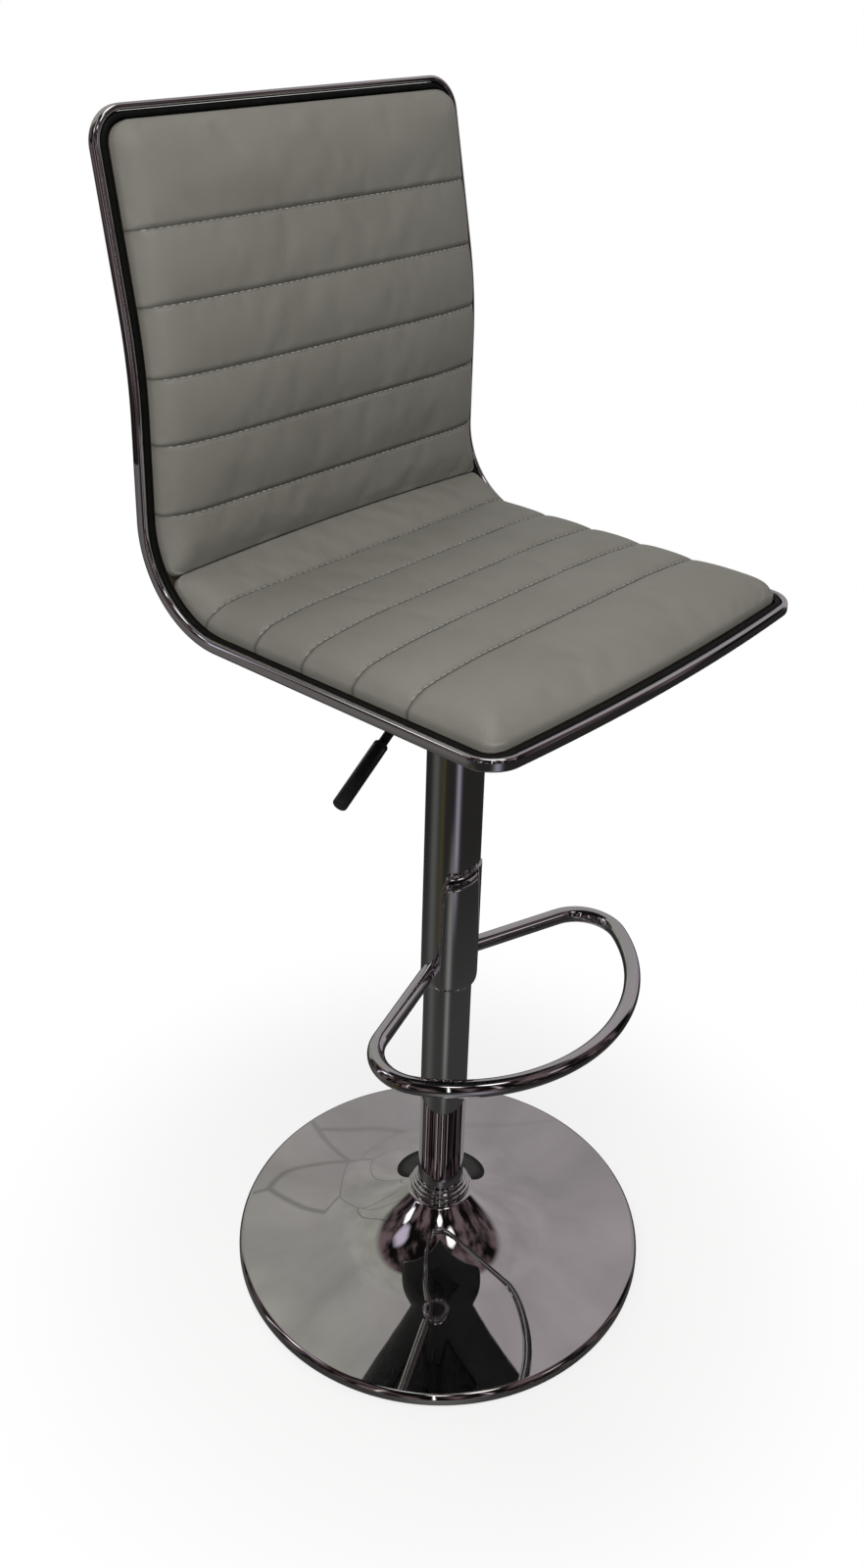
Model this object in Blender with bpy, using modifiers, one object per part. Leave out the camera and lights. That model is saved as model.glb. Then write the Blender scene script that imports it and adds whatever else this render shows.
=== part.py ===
"""Bar stool on a gas lift, built as separate named pieces.

Metres, +Z up. The sitter faces -Y, and the origin is on the floor under the column's axis.
Each size that can be changed on its own is named once below, and the rest follow from it.
"""

import math

import bmesh
import bpy
from mathutils import Matrix, Vector

# Fits
GAP = 0.0003
RUNNING_GAP = 0.0003
PIN_GAP = 0.00006

# Base, spun from sheet
BASE_RADIUS = 0.2045
BASE_SHEET = 0.0015
RIM_HEIGHT = 0.012
RIM_ROLL = 0.007
RIM_CLEARANCE = 0.0025
DISC_SLOPE = math.radians(10.0)
SWEEP_RADIUS = 0.118
NECK_CLEARANCE = 0.0083
NECK_HEIGHT = 0.066
FLOOR_RING_WIDTH = 0.0142
BALLAST_HOLE = 0.030
BALLAST_BOTTOM = 0.005

# Column
COLUMN_RADIUS = 0.0227
COLUMN_WALL = 0.0015
COLUMN_LAP = 0.074
COLLAR_HEIGHT = 0.015
FLANGE_RADIUS = 0.055
FLANGE_THICK = 0.004
FLANGE_BOLT_CIRCLE = 0.041
FLANGE_BOLTS = 3

# Gas spring
CYLINDER_RADIUS = 0.014
CYLINDER_WALL = 0.002
CYLINDER_LENGTH = 0.416
ROD_RADIUS = 0.005
PISTON_REACH = 0.059
RELEASE_RADIUS = 0.003
RELEASE_RISE = 0.0135

# Cover tube and footrest
BUSH_WALL = 0.0018
COVER_WALL = 0.0015
COVER_LENGTH = 0.337
COVER_DROP = 0.0175
CUFF_RISE = 0.002
CUFF_HEIGHT = 0.1305
CUFF_ARM_GAP = 0.00286
CUFF_SHEET = 0.0012
CUFF_CORNER_HEIGHT = 0.027
CUFF_CORNER_WIDTH = 0.0147
FOOTREST_RISE = 0.019
FOOTREST_TUBE = 0.0076
FOOTREST_RADIUS = 0.1695
FOOTREST_CENTRE_Y = -0.004
FOOTREST_BEND = 0.0406
FOOTREST_ARM_Y = 0.0006
FOOTREST_ARM_SLOPE = math.radians(18.5)

# Seat and back, side line along the underside and the rear
SEAT_WIDTH = 0.394
SEAT_FRONT_Y = -0.2048
SEAT_UNDER = 0.715
SEAT_FALL = math.radians(2.25)
BEND_RADIUS = 0.085
UPRIGHT_Y = 0.1755
UPRIGHT_RUN = 0.0835
LEAN_RADIUS = 0.445
BACK_LEAN = math.radians(11.0)
BACK_HEIGHT = 0.396
FRONT_BOW = 0.010
FRONT_BOW_REACH = 0.10
FRONT_CORNER = 0.025
TOP_CORNER = 0.030

# Rim, shell and skin, measured inwards from the outline and upwards from the side line
FRAME_WIDTH = 0.0055
FRAME_DEPTH = 0.0105
FRAME_DROP = 0.002
BAND_WIDTH = 0.0062
BAND_TOP = 0.0077
COVER_SKIN = 0.0012
SKIN_BOTTOM = 0.0008
SHELL_THICK = 0.0045

# Pads
PAD_GAP = 0.0007
PAD_RIM = 0.0057
PAD_ROLL = 0.010
PAD_ROLL_REACH = 0.006
PAD_CROWN = 0.010
PAD_CROWN_REACH = 0.050
PAD_PUFF = 0.0054
PAD_PUFF_REACH = 0.009
PAD_SIDE_DRAW = 0.0006
CREASE_ANGLE = math.radians(52.0)
CREASE_CORNER = 0.010
CREASE_BOW = 0.0055
CREASE_BOW_REACH = 0.045
SEAT_SEAMS = (0.0916, 0.1471, 0.2017, 0.2547, 0.3162)
BACK_SEAMS = (0.4351, 0.4936, 0.5461, 0.5988, 0.6559)

# Seat plate and its bolts
PLATE_SIDE = 0.164
PLATE_THICK = 0.0025
PLATE_FLANGE = 0.010
BOLT_EDGE = 0.017
BOLT_RADIUS = 0.003
BOLT_CLEARANCE = 0.0004
HUB_RADIUS = 0.0185
HUB_LAP = 0.036

# Lever
LEVER_TURN = math.radians(12.0)
LEVER_SLOPE = math.radians(22.9)
LEVER_DROP = 0.0295
KNEE_OUT = 0.006
LEVER_ROD = 0.004
PIVOT_OUT = 0.0085
PIVOT_RADIUS = 0.002
GRIP_START = 0.1233
GRIP_END = 0.1840
GRIP_WALL = 0.00195
CHEEK_INSIDE = 0.0065
CHEEK_THICK = 0.002

# Facets
FINE = 40
COLUMN_FACETS = 28
SMALL = 16

# Radii that follow, from the column outwards
COVER_BORE = COLUMN_RADIUS + BUSH_WALL
COVER_RADIUS = COVER_BORE + COVER_WALL
CUFF_INNER = COVER_RADIUS + GAP
NECK_RADIUS = COLUMN_RADIUS + NECK_CLEARANCE
CYLINDER_BORE = CYLINDER_RADIUS - CYLINDER_WALL
BOLT_HOLE = BOLT_RADIUS + BOLT_CLEARANCE
LEVER_KNEE = HUB_RADIUS + KNEE_OUT
LEVER_PIVOT = HUB_RADIUS + PIVOT_OUT
GRIP_BORE = LEVER_ROD + GAP
GRIP_RADIUS = GRIP_BORE + GRIP_WALL
BOLT_SPREAD = PLATE_SIDE / 2 - BOLT_EDGE

# Heights that follow, from the seat downwards
BACK_TOP = SEAT_UNDER + BACK_HEIGHT
LEVER_HEIGHT = SEAT_UNDER - LEVER_DROP
CYLINDER_TOP = LEVER_HEIGHT - RELEASE_RISE
CYLINDER_BOTTOM = CYLINDER_TOP - CYLINDER_LENGTH
PISTON_TOP = CYLINDER_BOTTOM + PISTON_REACH
COVER_TOP = LEVER_HEIGHT - COVER_DROP
COVER_BOTTOM = COVER_TOP - COVER_LENGTH
HUB_BOTTOM = COVER_TOP - HUB_LAP
COLUMN_TOP = COVER_BOTTOM + COLUMN_LAP
CUFF_BOTTOM = COVER_BOTTOM + CUFF_RISE
CUFF_TOP = CUFF_BOTTOM + CUFF_HEIGHT
FOOTREST_HEIGHT = COVER_BOTTOM + FOOTREST_RISE

# The cuff's edges stop short of the footrest's arms
CUFF_EDGE_Y = FOOTREST_ARM_Y - FOOTREST_TUBE / math.cos(FOOTREST_ARM_SLOPE) - CUFF_ARM_GAP
CUFF_HALF_ANGLE = math.acos(-CUFF_EDGE_Y / CUFF_INNER)


# Scene and finishes

for old in list(bpy.data.objects):
    bpy.data.objects.remove(old)

PARTS = bpy.data.collections.new("bar_stool")
HELPERS = bpy.data.collections.new("bar_stool_cutters")
for made in (PARTS, HELPERS):
    bpy.context.scene.collection.children.link(made)
HELPERS.hide_render = True


def finish(name, colour, metallic, roughness):
    """A Principled material."""
    made = bpy.data.materials.new(name)
    made.use_nodes = True
    shader = made.node_tree.nodes["Principled BSDF"]
    shader.inputs["Base Color"].default_value = (*colour, 1.0)
    shader.inputs["Metallic"].default_value = metallic
    shader.inputs["Roughness"].default_value = roughness
    return made


CHROME = finish("chrome", (0.80, 0.80, 0.80), 1.0, 0.06)
STEEL = finish("steel", (0.55, 0.56, 0.58), 1.0, 0.35)
IRON = finish("cast_iron", (0.10, 0.10, 0.11), 0.6, 0.7)
RUBBER = finish("rubber", (0.02, 0.02, 0.02), 0.0, 0.8)
NYLON = finish("nylon", (0.03, 0.03, 0.03), 0.0, 0.5)
BLACK = finish("black_metal", (0.02, 0.02, 0.02), 0.4, 0.4)
EDGE = finish("edge_vinyl", (0.015, 0.015, 0.016), 0.0, 0.45)
HIDE = finish("faux_leather", (0.20, 0.19, 0.17), 0.0, 0.5)
SKIN = finish("rear_vinyl", (0.02, 0.02, 0.02), 0.0, 0.55)
PLY = finish("plywood", (0.55, 0.40, 0.24), 0.0, 0.6)


# Tools for making pieces


def add(name, mesh, material, collection=None):
    """A mesh as an object with its own copy of the material."""
    made = bpy.data.objects.new(name, mesh)
    (collection or PARTS).objects.link(made)
    if material:
        own = material.copy()
        own.name = name + "_" + material.name
        mesh.materials.append(own)
    return made


def turned(name, loop, material, facets, collection=None):
    """A closed (radius, height) loop turned round Z. The outer side runs from top to bottom."""
    mesh = bpy.data.meshes.new(name)
    points = [(radius, 0.0, height) for radius, height in loop]
    on_axis = loop[0][0] == 0.0 and loop[-1][0] == 0.0
    edges = [(i, i + 1) for i in range(len(points) - 1)]
    if not on_axis:
        edges.append((len(points) - 1, 0))
    mesh.from_pydata(points, edges, [])
    made = add(name, mesh, material, collection)
    screw = made.modifiers.new("turn", "SCREW")
    screw.axis = "Z"
    screw.angle = math.tau
    screw.steps = facets
    screw.render_steps = facets
    screw.use_merge_vertices = True
    screw.merge_threshold = 0.00001
    screw.use_normal_calculate = False
    return made


def tube_loop(inner, outer, bottom, top, chamfer=0.0):
    """The loop of a plain tube, with its outer edges chamfered."""
    return [
        (inner, top),
        (outer - chamfer, top),
        (outer, top - chamfer),
        (outer, bottom + chamfer),
        (outer - chamfer, bottom),
        (inner, bottom),
    ] if chamfer else [(inner, top), (outer, top), (outer, bottom), (inner, bottom)]


def arc(centre, radius, start, end, steps):
    """Points of an arc in a plane, both ends included, with angles in radians."""
    return [
        (
            centre[0] + radius * math.cos(start + (end - start) * i / steps),
            centre[1] + radius * math.sin(start + (end - start) * i / steps),
        )
        for i in range(steps + 1)
    ]


def cut(made, cutter, operation="DIFFERENCE"):
    """An EXACT Boolean on the object."""
    boolean = made.modifiers.new("cut", "BOOLEAN")
    boolean.operation = operation
    boolean.solver = "EXACT"
    boolean.object = cutter
    cutter.hide_render = True
    cutter.display_type = "WIRE"


def block(name, low, high, material=None, collection=None):
    """A box between two corners."""
    work = bmesh.new()
    bmesh.ops.create_cube(work, size=1.0)
    low, high = Vector(low), Vector(high)
    for vertex in work.verts:
        vertex.co = Vector(
            (low[i] + (vertex.co[i] + 0.5) * (high[i] - low[i]) for i in range(3))
        )
    mesh = bpy.data.meshes.new(name)
    work.to_mesh(mesh)
    work.free()
    return add(name, mesh, material, collection)


def swept(name, points, radius, sides, material, cyclic=False, section=None):
    """A tube along points. A section, a flat closed curve, takes the place of the round one."""
    curve = bpy.data.curves.new(name, "CURVE")
    curve.dimensions = "3D"
    curve.twist_mode = "Z_UP"
    if section:
        curve.bevel_mode = "OBJECT"
        curve.bevel_object = section
    else:
        curve.bevel_depth = radius
        curve.bevel_resolution = (sides - 4) // 2
        curve.use_fill_caps = True
    spline = curve.splines.new("POLY")
    spline.points.add(len(points) - 1)
    for target, point in zip(spline.points, points):
        target.co = (*point, 1.0)
    spline.use_cyclic_u = cyclic
    holder = bpy.data.objects.new(name + "_path", curve)
    HELPERS.objects.link(holder)
    bpy.context.view_layer.update()
    graph = bpy.context.evaluated_depsgraph_get()
    mesh = bpy.data.meshes.new_from_object(holder.evaluated_get(graph))
    bpy.data.objects.remove(holder)
    work = bmesh.new()
    work.from_mesh(mesh)
    bmesh.ops.remove_doubles(work, verts=work.verts[:], dist=0.000001)
    bmesh.ops.recalc_face_normals(work, faces=work.faces[:])
    work.to_mesh(mesh)
    work.free()
    mesh.materials.clear()
    return add(name, mesh, material)


def flat_section(name, points):
    """A closed flat curve for a sweep to carry."""
    curve = bpy.data.curves.new(name, "CURVE")
    curve.dimensions = "2D"
    curve.fill_mode = "NONE"
    spline = curve.splines.new("POLY")
    spline.points.add(len(points) - 1)
    for target, (across, up) in zip(spline.points, points):
        target.co = (across, up, 0.0, 1.0)
    spline.use_cyclic_u = True
    made = bpy.data.objects.new(name, curve)
    HELPERS.objects.link(made)
    made.hide_render = True
    return made


def axis_empty(name, place):
    """An empty on a joint's axis, which the moving pieces hang from."""
    made = bpy.data.objects.new(name, None)
    made.location = place
    PARTS.objects.link(made)
    return made


def hang(pieces, holder):
    """Parents pieces to an empty and leaves them where they are."""
    bpy.context.view_layer.update()
    for piece in pieces:
        piece.parent = holder
        piece.matrix_parent_inverse = holder.matrix_world.inverted()


# Side line of the seat


def side_runs():
    """(length, turn) of each run of the side line, from the front edge to the top."""
    bend_turn = math.pi / 2 + SEAT_FALL
    bend_y = UPRIGHT_Y - BEND_RADIUS - BEND_RADIUS * math.sin(SEAT_FALL)
    seat_run = (bend_y - SEAT_FRONT_Y) / math.cos(SEAT_FALL)
    bend_bottom = SEAT_UNDER - bend_y * math.tan(SEAT_FALL)
    bend_top = bend_bottom + BEND_RADIUS * math.cos(SEAT_FALL)
    lean_top = bend_top + UPRIGHT_RUN + LEAN_RADIUS * math.sin(BACK_LEAN)
    top_run = (BACK_TOP - lean_top) / math.cos(BACK_LEAN)
    return (
        (seat_run, 0.0),
        (BEND_RADIUS * bend_turn, bend_turn),
        (UPRIGHT_RUN, 0.0),
        (LEAN_RADIUS * BACK_LEAN, -BACK_LEAN),
        (top_run, 0.0),
    )


RUNS = side_runs()
LINE_LENGTH = sum(length for length, turn in RUNS)
BEND_START = RUNS[0][0]
BEND_END = BEND_START + RUNS[1][0]
LEAN_START = BEND_END + RUNS[2][0]
LEAN_END = LEAN_START + RUNS[3][0]
CREASE = BEND_START + BEND_RADIUS * (CREASE_ANGLE + SEAT_FALL)
HALF_WIDTH = SEAT_WIDTH / 2


def side_point(along):
    """(y, z, angle) at a distance along the side line. The angle is that of the line's run."""
    y = SEAT_FRONT_Y
    z = SEAT_UNDER - SEAT_FRONT_Y * math.tan(SEAT_FALL)
    angle = -SEAT_FALL
    left = along
    for index, (length, turn) in enumerate(RUNS):
        step = left if index == len(RUNS) - 1 else min(left, length)
        if turn:
            radius = length / turn
            swing = step / radius
            y += radius * (math.sin(angle + swing) - math.sin(angle))
            z -= radius * (math.cos(angle + swing) - math.cos(angle))
            angle += swing
        else:
            y += step * math.cos(angle)
            z += step * math.sin(angle)
        left -= step
        if left <= 0:
            break
    return y, z, angle


def bowed(x, along):
    """The distance along once the front edge's bow is added."""
    fade = max(0.0, 1.0 - max(0.0, along) / FRONT_BOW_REACH) ** 2
    return along - FRONT_BOW * (1.0 - (x / HALF_WIDTH) ** 2) * fade


def creased(x, along):
    """The distance along once the bow of the crease between the pads is added."""
    fade = max(0.0, 1.0 - abs(along - CREASE) / CREASE_BOW_REACH) ** 2
    return along + CREASE_BOW * (1.0 - (x / HALF_WIDTH) ** 2) * fade


def wrap(x, along, up):
    """A point of the flat pattern, bent onto the side line."""
    y, z, angle = side_point(bowed(x, along))
    return Vector((x, y - up * math.sin(angle), z + up * math.cos(angle)))


def bend_mesh(made):
    """Bends a piece that was made flat, with its length along +Y, onto the side line."""
    for vertex in made.data.vertices:
        vertex.co = wrap(*vertex.co)
    work = bmesh.new()
    work.from_mesh(made.data)
    bmesh.ops.recalc_face_normals(work, faces=work.faces[:])
    work.to_mesh(made.data)
    work.free()


def stations(start, end):
    """Rows along the side line: close in the bends and wide on the straight runs."""
    rows = [start, end]
    rows += [FRONT_BOW_REACH * i / 4 for i in range(1, 5)]
    rows += [BEND_START + (BEND_END - BEND_START) * i / 9 for i in range(10)]
    rows += [LEAN_START + (LEAN_END - LEAN_START) * i / 4 for i in range(5)]
    kept = []
    for row in sorted(rows):
        if start - 1e-9 <= row <= end + 1e-9 and (not kept or row - kept[-1] > 0.003):
            kept.append(row)
    kept[-1] = end
    return kept


def outline(inset):
    """The seat's rounded outline as flat (x, along, 0) points, moved inwards."""
    half = HALF_WIDTH - inset
    low = FRONT_CORNER - inset
    high = TOP_CORNER - inset
    top = LINE_LENGTH - inset
    right = [((half - low) * i / 4, inset) for i in range(4)]
    right += arc((half - low, inset + low), low, -math.pi / 2, 0.0, 5)
    right += [(half, row) for row in stations(inset + low + 0.004, top - high - 0.004)]
    right += arc((half - high, top - high), high, 0.0, math.pi / 2, 5)
    right += [((half - high) * i / 2, top) for i in (1, 0)]
    left = [(-x, along) for x, along in reversed(right[1:-1])]
    return [(x, along, 0.0) for x, along in right + left]


def panel_half(along, start, end, half, start_corner, end_corner):
    """Half the width of a rounded panel at a distance along it."""
    for reach, corner in ((along - start, start_corner), (end - along, end_corner)):
        if reach < corner:
            return half - corner + math.sqrt(max(0.0, corner**2 - (corner - reach) ** 2))
    return half


def corner_rows(start, end, start_corner, end_corner):
    """Rows that draw a panel's rounded corners."""
    turns = [1.0 - math.cos(math.pi / 2 * i / 4) for i in range(5)]
    return [start + start_corner * t for t in turns] + [end - end_corner * t for t in turns]


def merged(rows, least=0.0012):
    """Rows in order, without those that nearly coincide."""
    kept = []
    for row in sorted(rows):
        if not kept or row - kept[-1] > least:
            kept.append(row)
    return kept


def grid(columns, rows):
    """A flat grid of quads whose x counts columns and y counts rows."""
    work = bmesh.new()
    bmesh.ops.create_grid(work, x_segments=columns, y_segments=rows, size=0.5)
    for vertex in work.verts:
        vertex.co.x = round((vertex.co.x + 0.5) * columns)
        vertex.co.y = round((vertex.co.y + 0.5) * rows)
    return work


def sheet(name, inset, bottom, thick, material, columns=8):
    """A sheet of even thickness that fills the outline, bent onto the side line."""
    half = HALF_WIDTH - inset
    end = LINE_LENGTH - inset
    corners = (FRONT_CORNER - inset, TOP_CORNER - inset)
    rows = merged(corner_rows(inset, end, *corners) + stations(inset, end), 0.0025)
    rows[-1] = end
    work = grid(columns, len(rows) - 1)
    for vertex in work.verts:
        along = rows[int(vertex.co.y)]
        across = 2.0 * vertex.co.x / columns - 1.0
        x = across * panel_half(along, inset, end, half, *corners)
        vertex.co = wrap(x, along, bottom)
    bmesh.ops.recalc_face_normals(work, faces=work.faces[:])
    if sum((face.normal.z for face in work.faces)) < 0.0:
        bmesh.ops.reverse_faces(work, faces=work.faces[:])
    mesh = bpy.data.meshes.new(name)
    work.to_mesh(mesh)
    work.free()
    made = add(name, mesh, material)
    solid = made.modifiers.new("thickness", "SOLIDIFY")
    solid.thickness = thick
    solid.offset = 1.0
    return made


def panel_puff(along, edges):
    """How far a panel between two seams is filled out, from 0 on a seam to 1 in its middle."""
    for low, high in zip(edges, edges[1:]):
        if low <= along <= high:
            middle = 2.0 * (along - low) / (high - low) - 1.0
            return 1.0 - abs(middle) ** 2.6
    return 0.0


def pad(name, start, end, seams, corners, crease_end, material, columns=12):
    """A channelled pad: rolled edges, a crowned face and a groove on every seam."""
    bottom = SHELL_BOTTOM + SHELL_THICK + PAD_GAP
    half = HALF_WIDTH - PAD_INSET
    edges = (start, *seams, end)
    rows = corner_rows(start, end, *corners)
    for low, high in zip(edges, edges[1:]):
        rows += [low + (high - low) * part for part in (0.0, 0.07, 0.22, 0.5, 0.78, 0.93)]
    rows = merged(rows + [end], 0.0016)
    rows[-1] = end
    work = grid(columns, len(rows) - 1)
    raised = bmesh.ops.extrude_face_region(work, geom=work.faces[:], use_keep_orig=True)
    tops = {item for item in raised["geom"] if isinstance(item, bmesh.types.BMVert)}
    for vertex in work.verts:
        along = rows[int(round(vertex.co.y))]
        across = 2.0 * vertex.co.x / columns - 1.0
        across = math.copysign(1.0 - (1.0 - abs(across)) ** 1.5, across)
        puff = panel_puff(along, edges)
        limit = panel_half(along, start, end, half, *corners)
        x = across * (limit - PAD_SIDE_DRAW * (1.0 - puff))
        if vertex not in tops:
            vertex.co = wrap(x, creased(x, along), bottom)
            continue
        reaches = [limit - abs(x), along - start, end - along]
        reaches[2 if crease_end else 1] *= 0.55
        soft = 0.004
        depth = -soft * math.log(sum(math.exp(-reach / soft) for reach in reaches))
        depth = max(0.0, depth)
        up = bottom + PAD_RIM
        up += PAD_ROLL * (1.0 - math.exp(-depth / PAD_ROLL_REACH))
        up += PAD_CROWN * (1.0 - math.exp(-depth / PAD_CROWN_REACH))
        up += PAD_PUFF * puff * (1.0 - math.exp(-depth / PAD_PUFF_REACH))
        vertex.co = wrap(x, creased(x, along), up)
    bmesh.ops.recalc_face_normals(work, faces=work.faces[:])
    mesh = bpy.data.meshes.new(name)
    work.to_mesh(mesh)
    work.free()
    return add(name, mesh, material)


# Base group

rim_top = RIM_HEIGHT
rim_centre = (BASE_RADIUS - RIM_ROLL, rim_top - RIM_ROLL)
disc_out = Vector((math.sin(DISC_SLOPE), math.cos(DISC_SLOPE)))
disc_edge = Vector(rim_centre) + disc_out * RIM_ROLL
sweep_foot = Vector((
    SWEEP_RADIUS,
    disc_edge.y + (disc_edge.x - SWEEP_RADIUS) * math.tan(DISC_SLOPE),
))
sweep_chord = math.atan2(NECK_HEIGHT - sweep_foot.y, SWEEP_RADIUS - NECK_RADIUS)
neck_slope = 2.0 * sweep_chord - DISC_SLOPE
sweep = (SWEEP_RADIUS - NECK_RADIUS) / (math.sin(neck_slope) - math.sin(DISC_SLOPE))
sweep_centre = sweep_foot + disc_out * sweep


def pan_side(sheet_in):
    """The pan's profile from its neck to its rim, moved in by part of the sheet's thickness.

    The disc rises as a flat cone. From the sweep's radius one hollow arc carries it up to the neck.
    """
    neck = NECK_RADIUS - sheet_in
    down = 1.5 * math.pi
    hollow = arc(sweep_centre, sweep + sheet_in, down - neck_slope, down - DISC_SLOPE, 8)
    side = [(neck, NECK_HEIGHT)]
    if sheet_in:
        drop = sheet_in * (1.0 / math.cos(neck_slope) - math.tan(neck_slope))
        side += [(neck, NECK_HEIGHT - drop), hollow[0]]
    side += hollow[1:]
    side += arc(rim_centre, RIM_ROLL - sheet_in, math.pi / 2 - DISC_SLOPE, 0.0, 4)
    side.append((BASE_RADIUS - sheet_in, RIM_CLEARANCE))
    return side


def pan_inside(radius):
    """Height of the disc's inner face."""
    inner_edge = disc_edge - disc_out * BASE_SHEET
    return inner_edge.y + (inner_edge.x - radius) * math.tan(DISC_SLOPE)


base_pan = turned(
    "base_pan", pan_side(0.0) + pan_side(BASE_SHEET)[::-1], CHROME, FINE
)

ring_outer = BASE_RADIUS - BASE_SHEET - 0.0013
ring_inner = ring_outer - FLOOR_RING_WIDTH
floor_ring = turned(
    "floor_ring",
    tube_loop(ring_inner, ring_outer, 0.0, rim_top - BASE_SHEET - 0.003, 0.0008),
    RUBBER,
    FINE,
)

ballast_radius = ring_inner - GAP
ballast_top = pan_inside(ballast_radius) - GAP
ballast_plate = turned(
    "ballast_plate",
    tube_loop(BALLAST_HOLE, ballast_radius, BALLAST_BOTTOM, ballast_top),
    IRON,
    FINE,
)

column_foot_level = ballast_top + GAP
flange_top = column_foot_level + FLANGE_THICK
column_flange = turned(
    "column_flange",
    tube_loop(COLUMN_RADIUS + GAP, FLANGE_RADIUS, column_foot_level, flange_top, 0.0006),
    STEEL,
    COLUMN_FACETS,
)
flange_bolts = []
for i in range(FLANGE_BOLTS):
    turn = math.tau * i / FLANGE_BOLTS + math.pi / 2
    place = Vector(
        (FLANGE_BOLT_CIRCLE * math.cos(turn), FLANGE_BOLT_CIRCLE * math.sin(turn), 0.0)
    )
    hole = turned(
        f"flange_bolt_hole_{i + 1}",
        [(0.0, 0.03), (BOLT_HOLE, 0.03), (BOLT_HOLE, -0.01), (0.0, -0.01)],
        None,
        12,
        HELPERS,
    )
    hole.location = place
    cut(column_flange, hole)
    cut(ballast_plate, hole)
    bolt = turned(
        f"flange_bolt_{i + 1}",
        [
            (0.0, flange_top + GAP + 0.004),
            (0.0052, flange_top + GAP + 0.004),
            (0.0052, flange_top + GAP),
            (BOLT_RADIUS, flange_top + GAP),
            (BOLT_RADIUS, BALLAST_BOTTOM + 0.001),
            (0.0, BALLAST_BOTTOM + 0.001),
        ],
        STEEL,
        12,
    )
    bolt.location = place
    flange_bolts.append(bolt)

column_bore = COLUMN_RADIUS - COLUMN_WALL
lower_column = turned(
    "lower_column",
    tube_loop(column_bore, COLUMN_RADIUS, column_foot_level, COLUMN_TOP),
    CHROME,
    COLUMN_FACETS,
)

collar_bottom = NECK_HEIGHT + GAP
collar_bore = COLUMN_RADIUS + GAP
collar_top = NECK_HEIGHT + COLLAR_HEIGHT
collar_neck = NECK_RADIUS - BASE_SHEET - GAP
column_collar = turned(
    "column_collar",
    [
        (collar_bore, collar_top),
        (collar_bore + 0.0030, collar_top),
        (collar_bore + 0.0043, collar_top - 0.0013),
        (collar_bore + 0.0043, collar_top - 0.0055),
        (NECK_RADIUS - 0.0008, collar_top - 0.0064),
        (NECK_RADIUS + 0.0010, collar_top - 0.0078),
        (NECK_RADIUS + 0.0015, collar_top - 0.0100),
        (NECK_RADIUS + 0.0010, collar_top - 0.0122),
        (NECK_RADIUS - 0.0004, collar_bottom),
        (collar_neck, collar_bottom),
        (collar_neck, collar_bottom - 0.008),
        (collar_bore, collar_bottom - 0.008),
    ],
    CHROME,
    COLUMN_FACETS,
)

foot_bottom = column_foot_level + 0.002
foot_top = foot_bottom + 0.008
column_foot = turned(
    "column_foot",
    tube_loop(ROD_RADIUS + RUNNING_GAP, column_bore - GAP, foot_bottom, foot_top),
    STEEL,
    COLUMN_FACETS,
)

race_inner = ROD_RADIUS + 0.0025
race_outer = 0.0155
race_thick = 0.0025
race_low = foot_top + GAP
bearing_race_lower = turned(
    "bearing_race_lower",
    tube_loop(race_inner, race_outer, race_low, race_low + race_thick),
    STEEL,
    SMALL,
)
ball_radius = 0.00175
ball_middle = race_low + race_thick + GAP + ball_radius
ball_pitch = (race_inner + race_outer) / 2
bearing_ball_ring = turned(
    "bearing_ball_ring",
    arc((ball_pitch, ball_middle), ball_radius, math.pi * 0.75, -math.pi, 7),
    STEEL,
    SMALL,
)
race_high = ball_middle + ball_radius + GAP
bearing_race_upper = turned(
    "bearing_race_upper",
    tube_loop(race_inner, race_outer, race_high, race_high + race_thick),
    STEEL,
    SMALL,
)

guide_flange = 0.0027
guide_bush = turned(
    "guide_bush",
    [
        (CYLINDER_RADIUS + RUNNING_GAP, COLUMN_TOP + GAP + guide_flange),
        (COLUMN_RADIUS - 0.0004, COLUMN_TOP + GAP + guide_flange),
        (COLUMN_RADIUS - 0.0004, COLUMN_TOP + GAP),
        (column_bore - GAP, COLUMN_TOP + GAP),
        (column_bore - GAP, COLUMN_TOP - 0.045),
        (CYLINDER_RADIUS + RUNNING_GAP, COLUMN_TOP - 0.045),
    ],
    NYLON,
    COLUMN_FACETS,
)

# Spindle group

shoulder = race_high + race_thick + GAP
rod_bottom = foot_bottom - 0.006
piston_rod = turned(
    "piston_rod",
    [
        (0.0, PISTON_TOP),
        (CYLINDER_BORE - RUNNING_GAP, PISTON_TOP),
        (CYLINDER_BORE - RUNNING_GAP, PISTON_TOP - 0.018),
        (ROD_RADIUS, PISTON_TOP - 0.018),
        (ROD_RADIUS, shoulder + 0.005),
        (0.009, shoulder + 0.005),
        (0.009, shoulder),
        (ROD_RADIUS, shoulder),
        (ROD_RADIUS, rod_bottom),
        (0.0, rod_bottom),
    ],
    STEEL,
    COLUMN_FACETS,
)
rod_clip = turned(
    "rod_clip",
    tube_loop(ROD_RADIUS + GAP, 0.011, foot_bottom - GAP - 0.0018, foot_bottom - GAP),
    STEEL,
    SMALL,
)

# Lift group round the column

gas_cylinder = turned(
    "gas_cylinder",
    [
        (RELEASE_RADIUS + RUNNING_GAP, CYLINDER_TOP),
        (CYLINDER_RADIUS, CYLINDER_TOP),
        (CYLINDER_RADIUS, CYLINDER_BOTTOM),
        (ROD_RADIUS + RUNNING_GAP, CYLINDER_BOTTOM),
        (ROD_RADIUS + RUNNING_GAP, CYLINDER_BOTTOM + 0.015),
        (CYLINDER_BORE, CYLINDER_BOTTOM + 0.015),
        (CYLINDER_BORE, CYLINDER_TOP - 0.010),
        (RELEASE_RADIUS + RUNNING_GAP, CYLINDER_TOP - 0.010),
    ],
    BLACK,
    COLUMN_FACETS,
)

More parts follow.
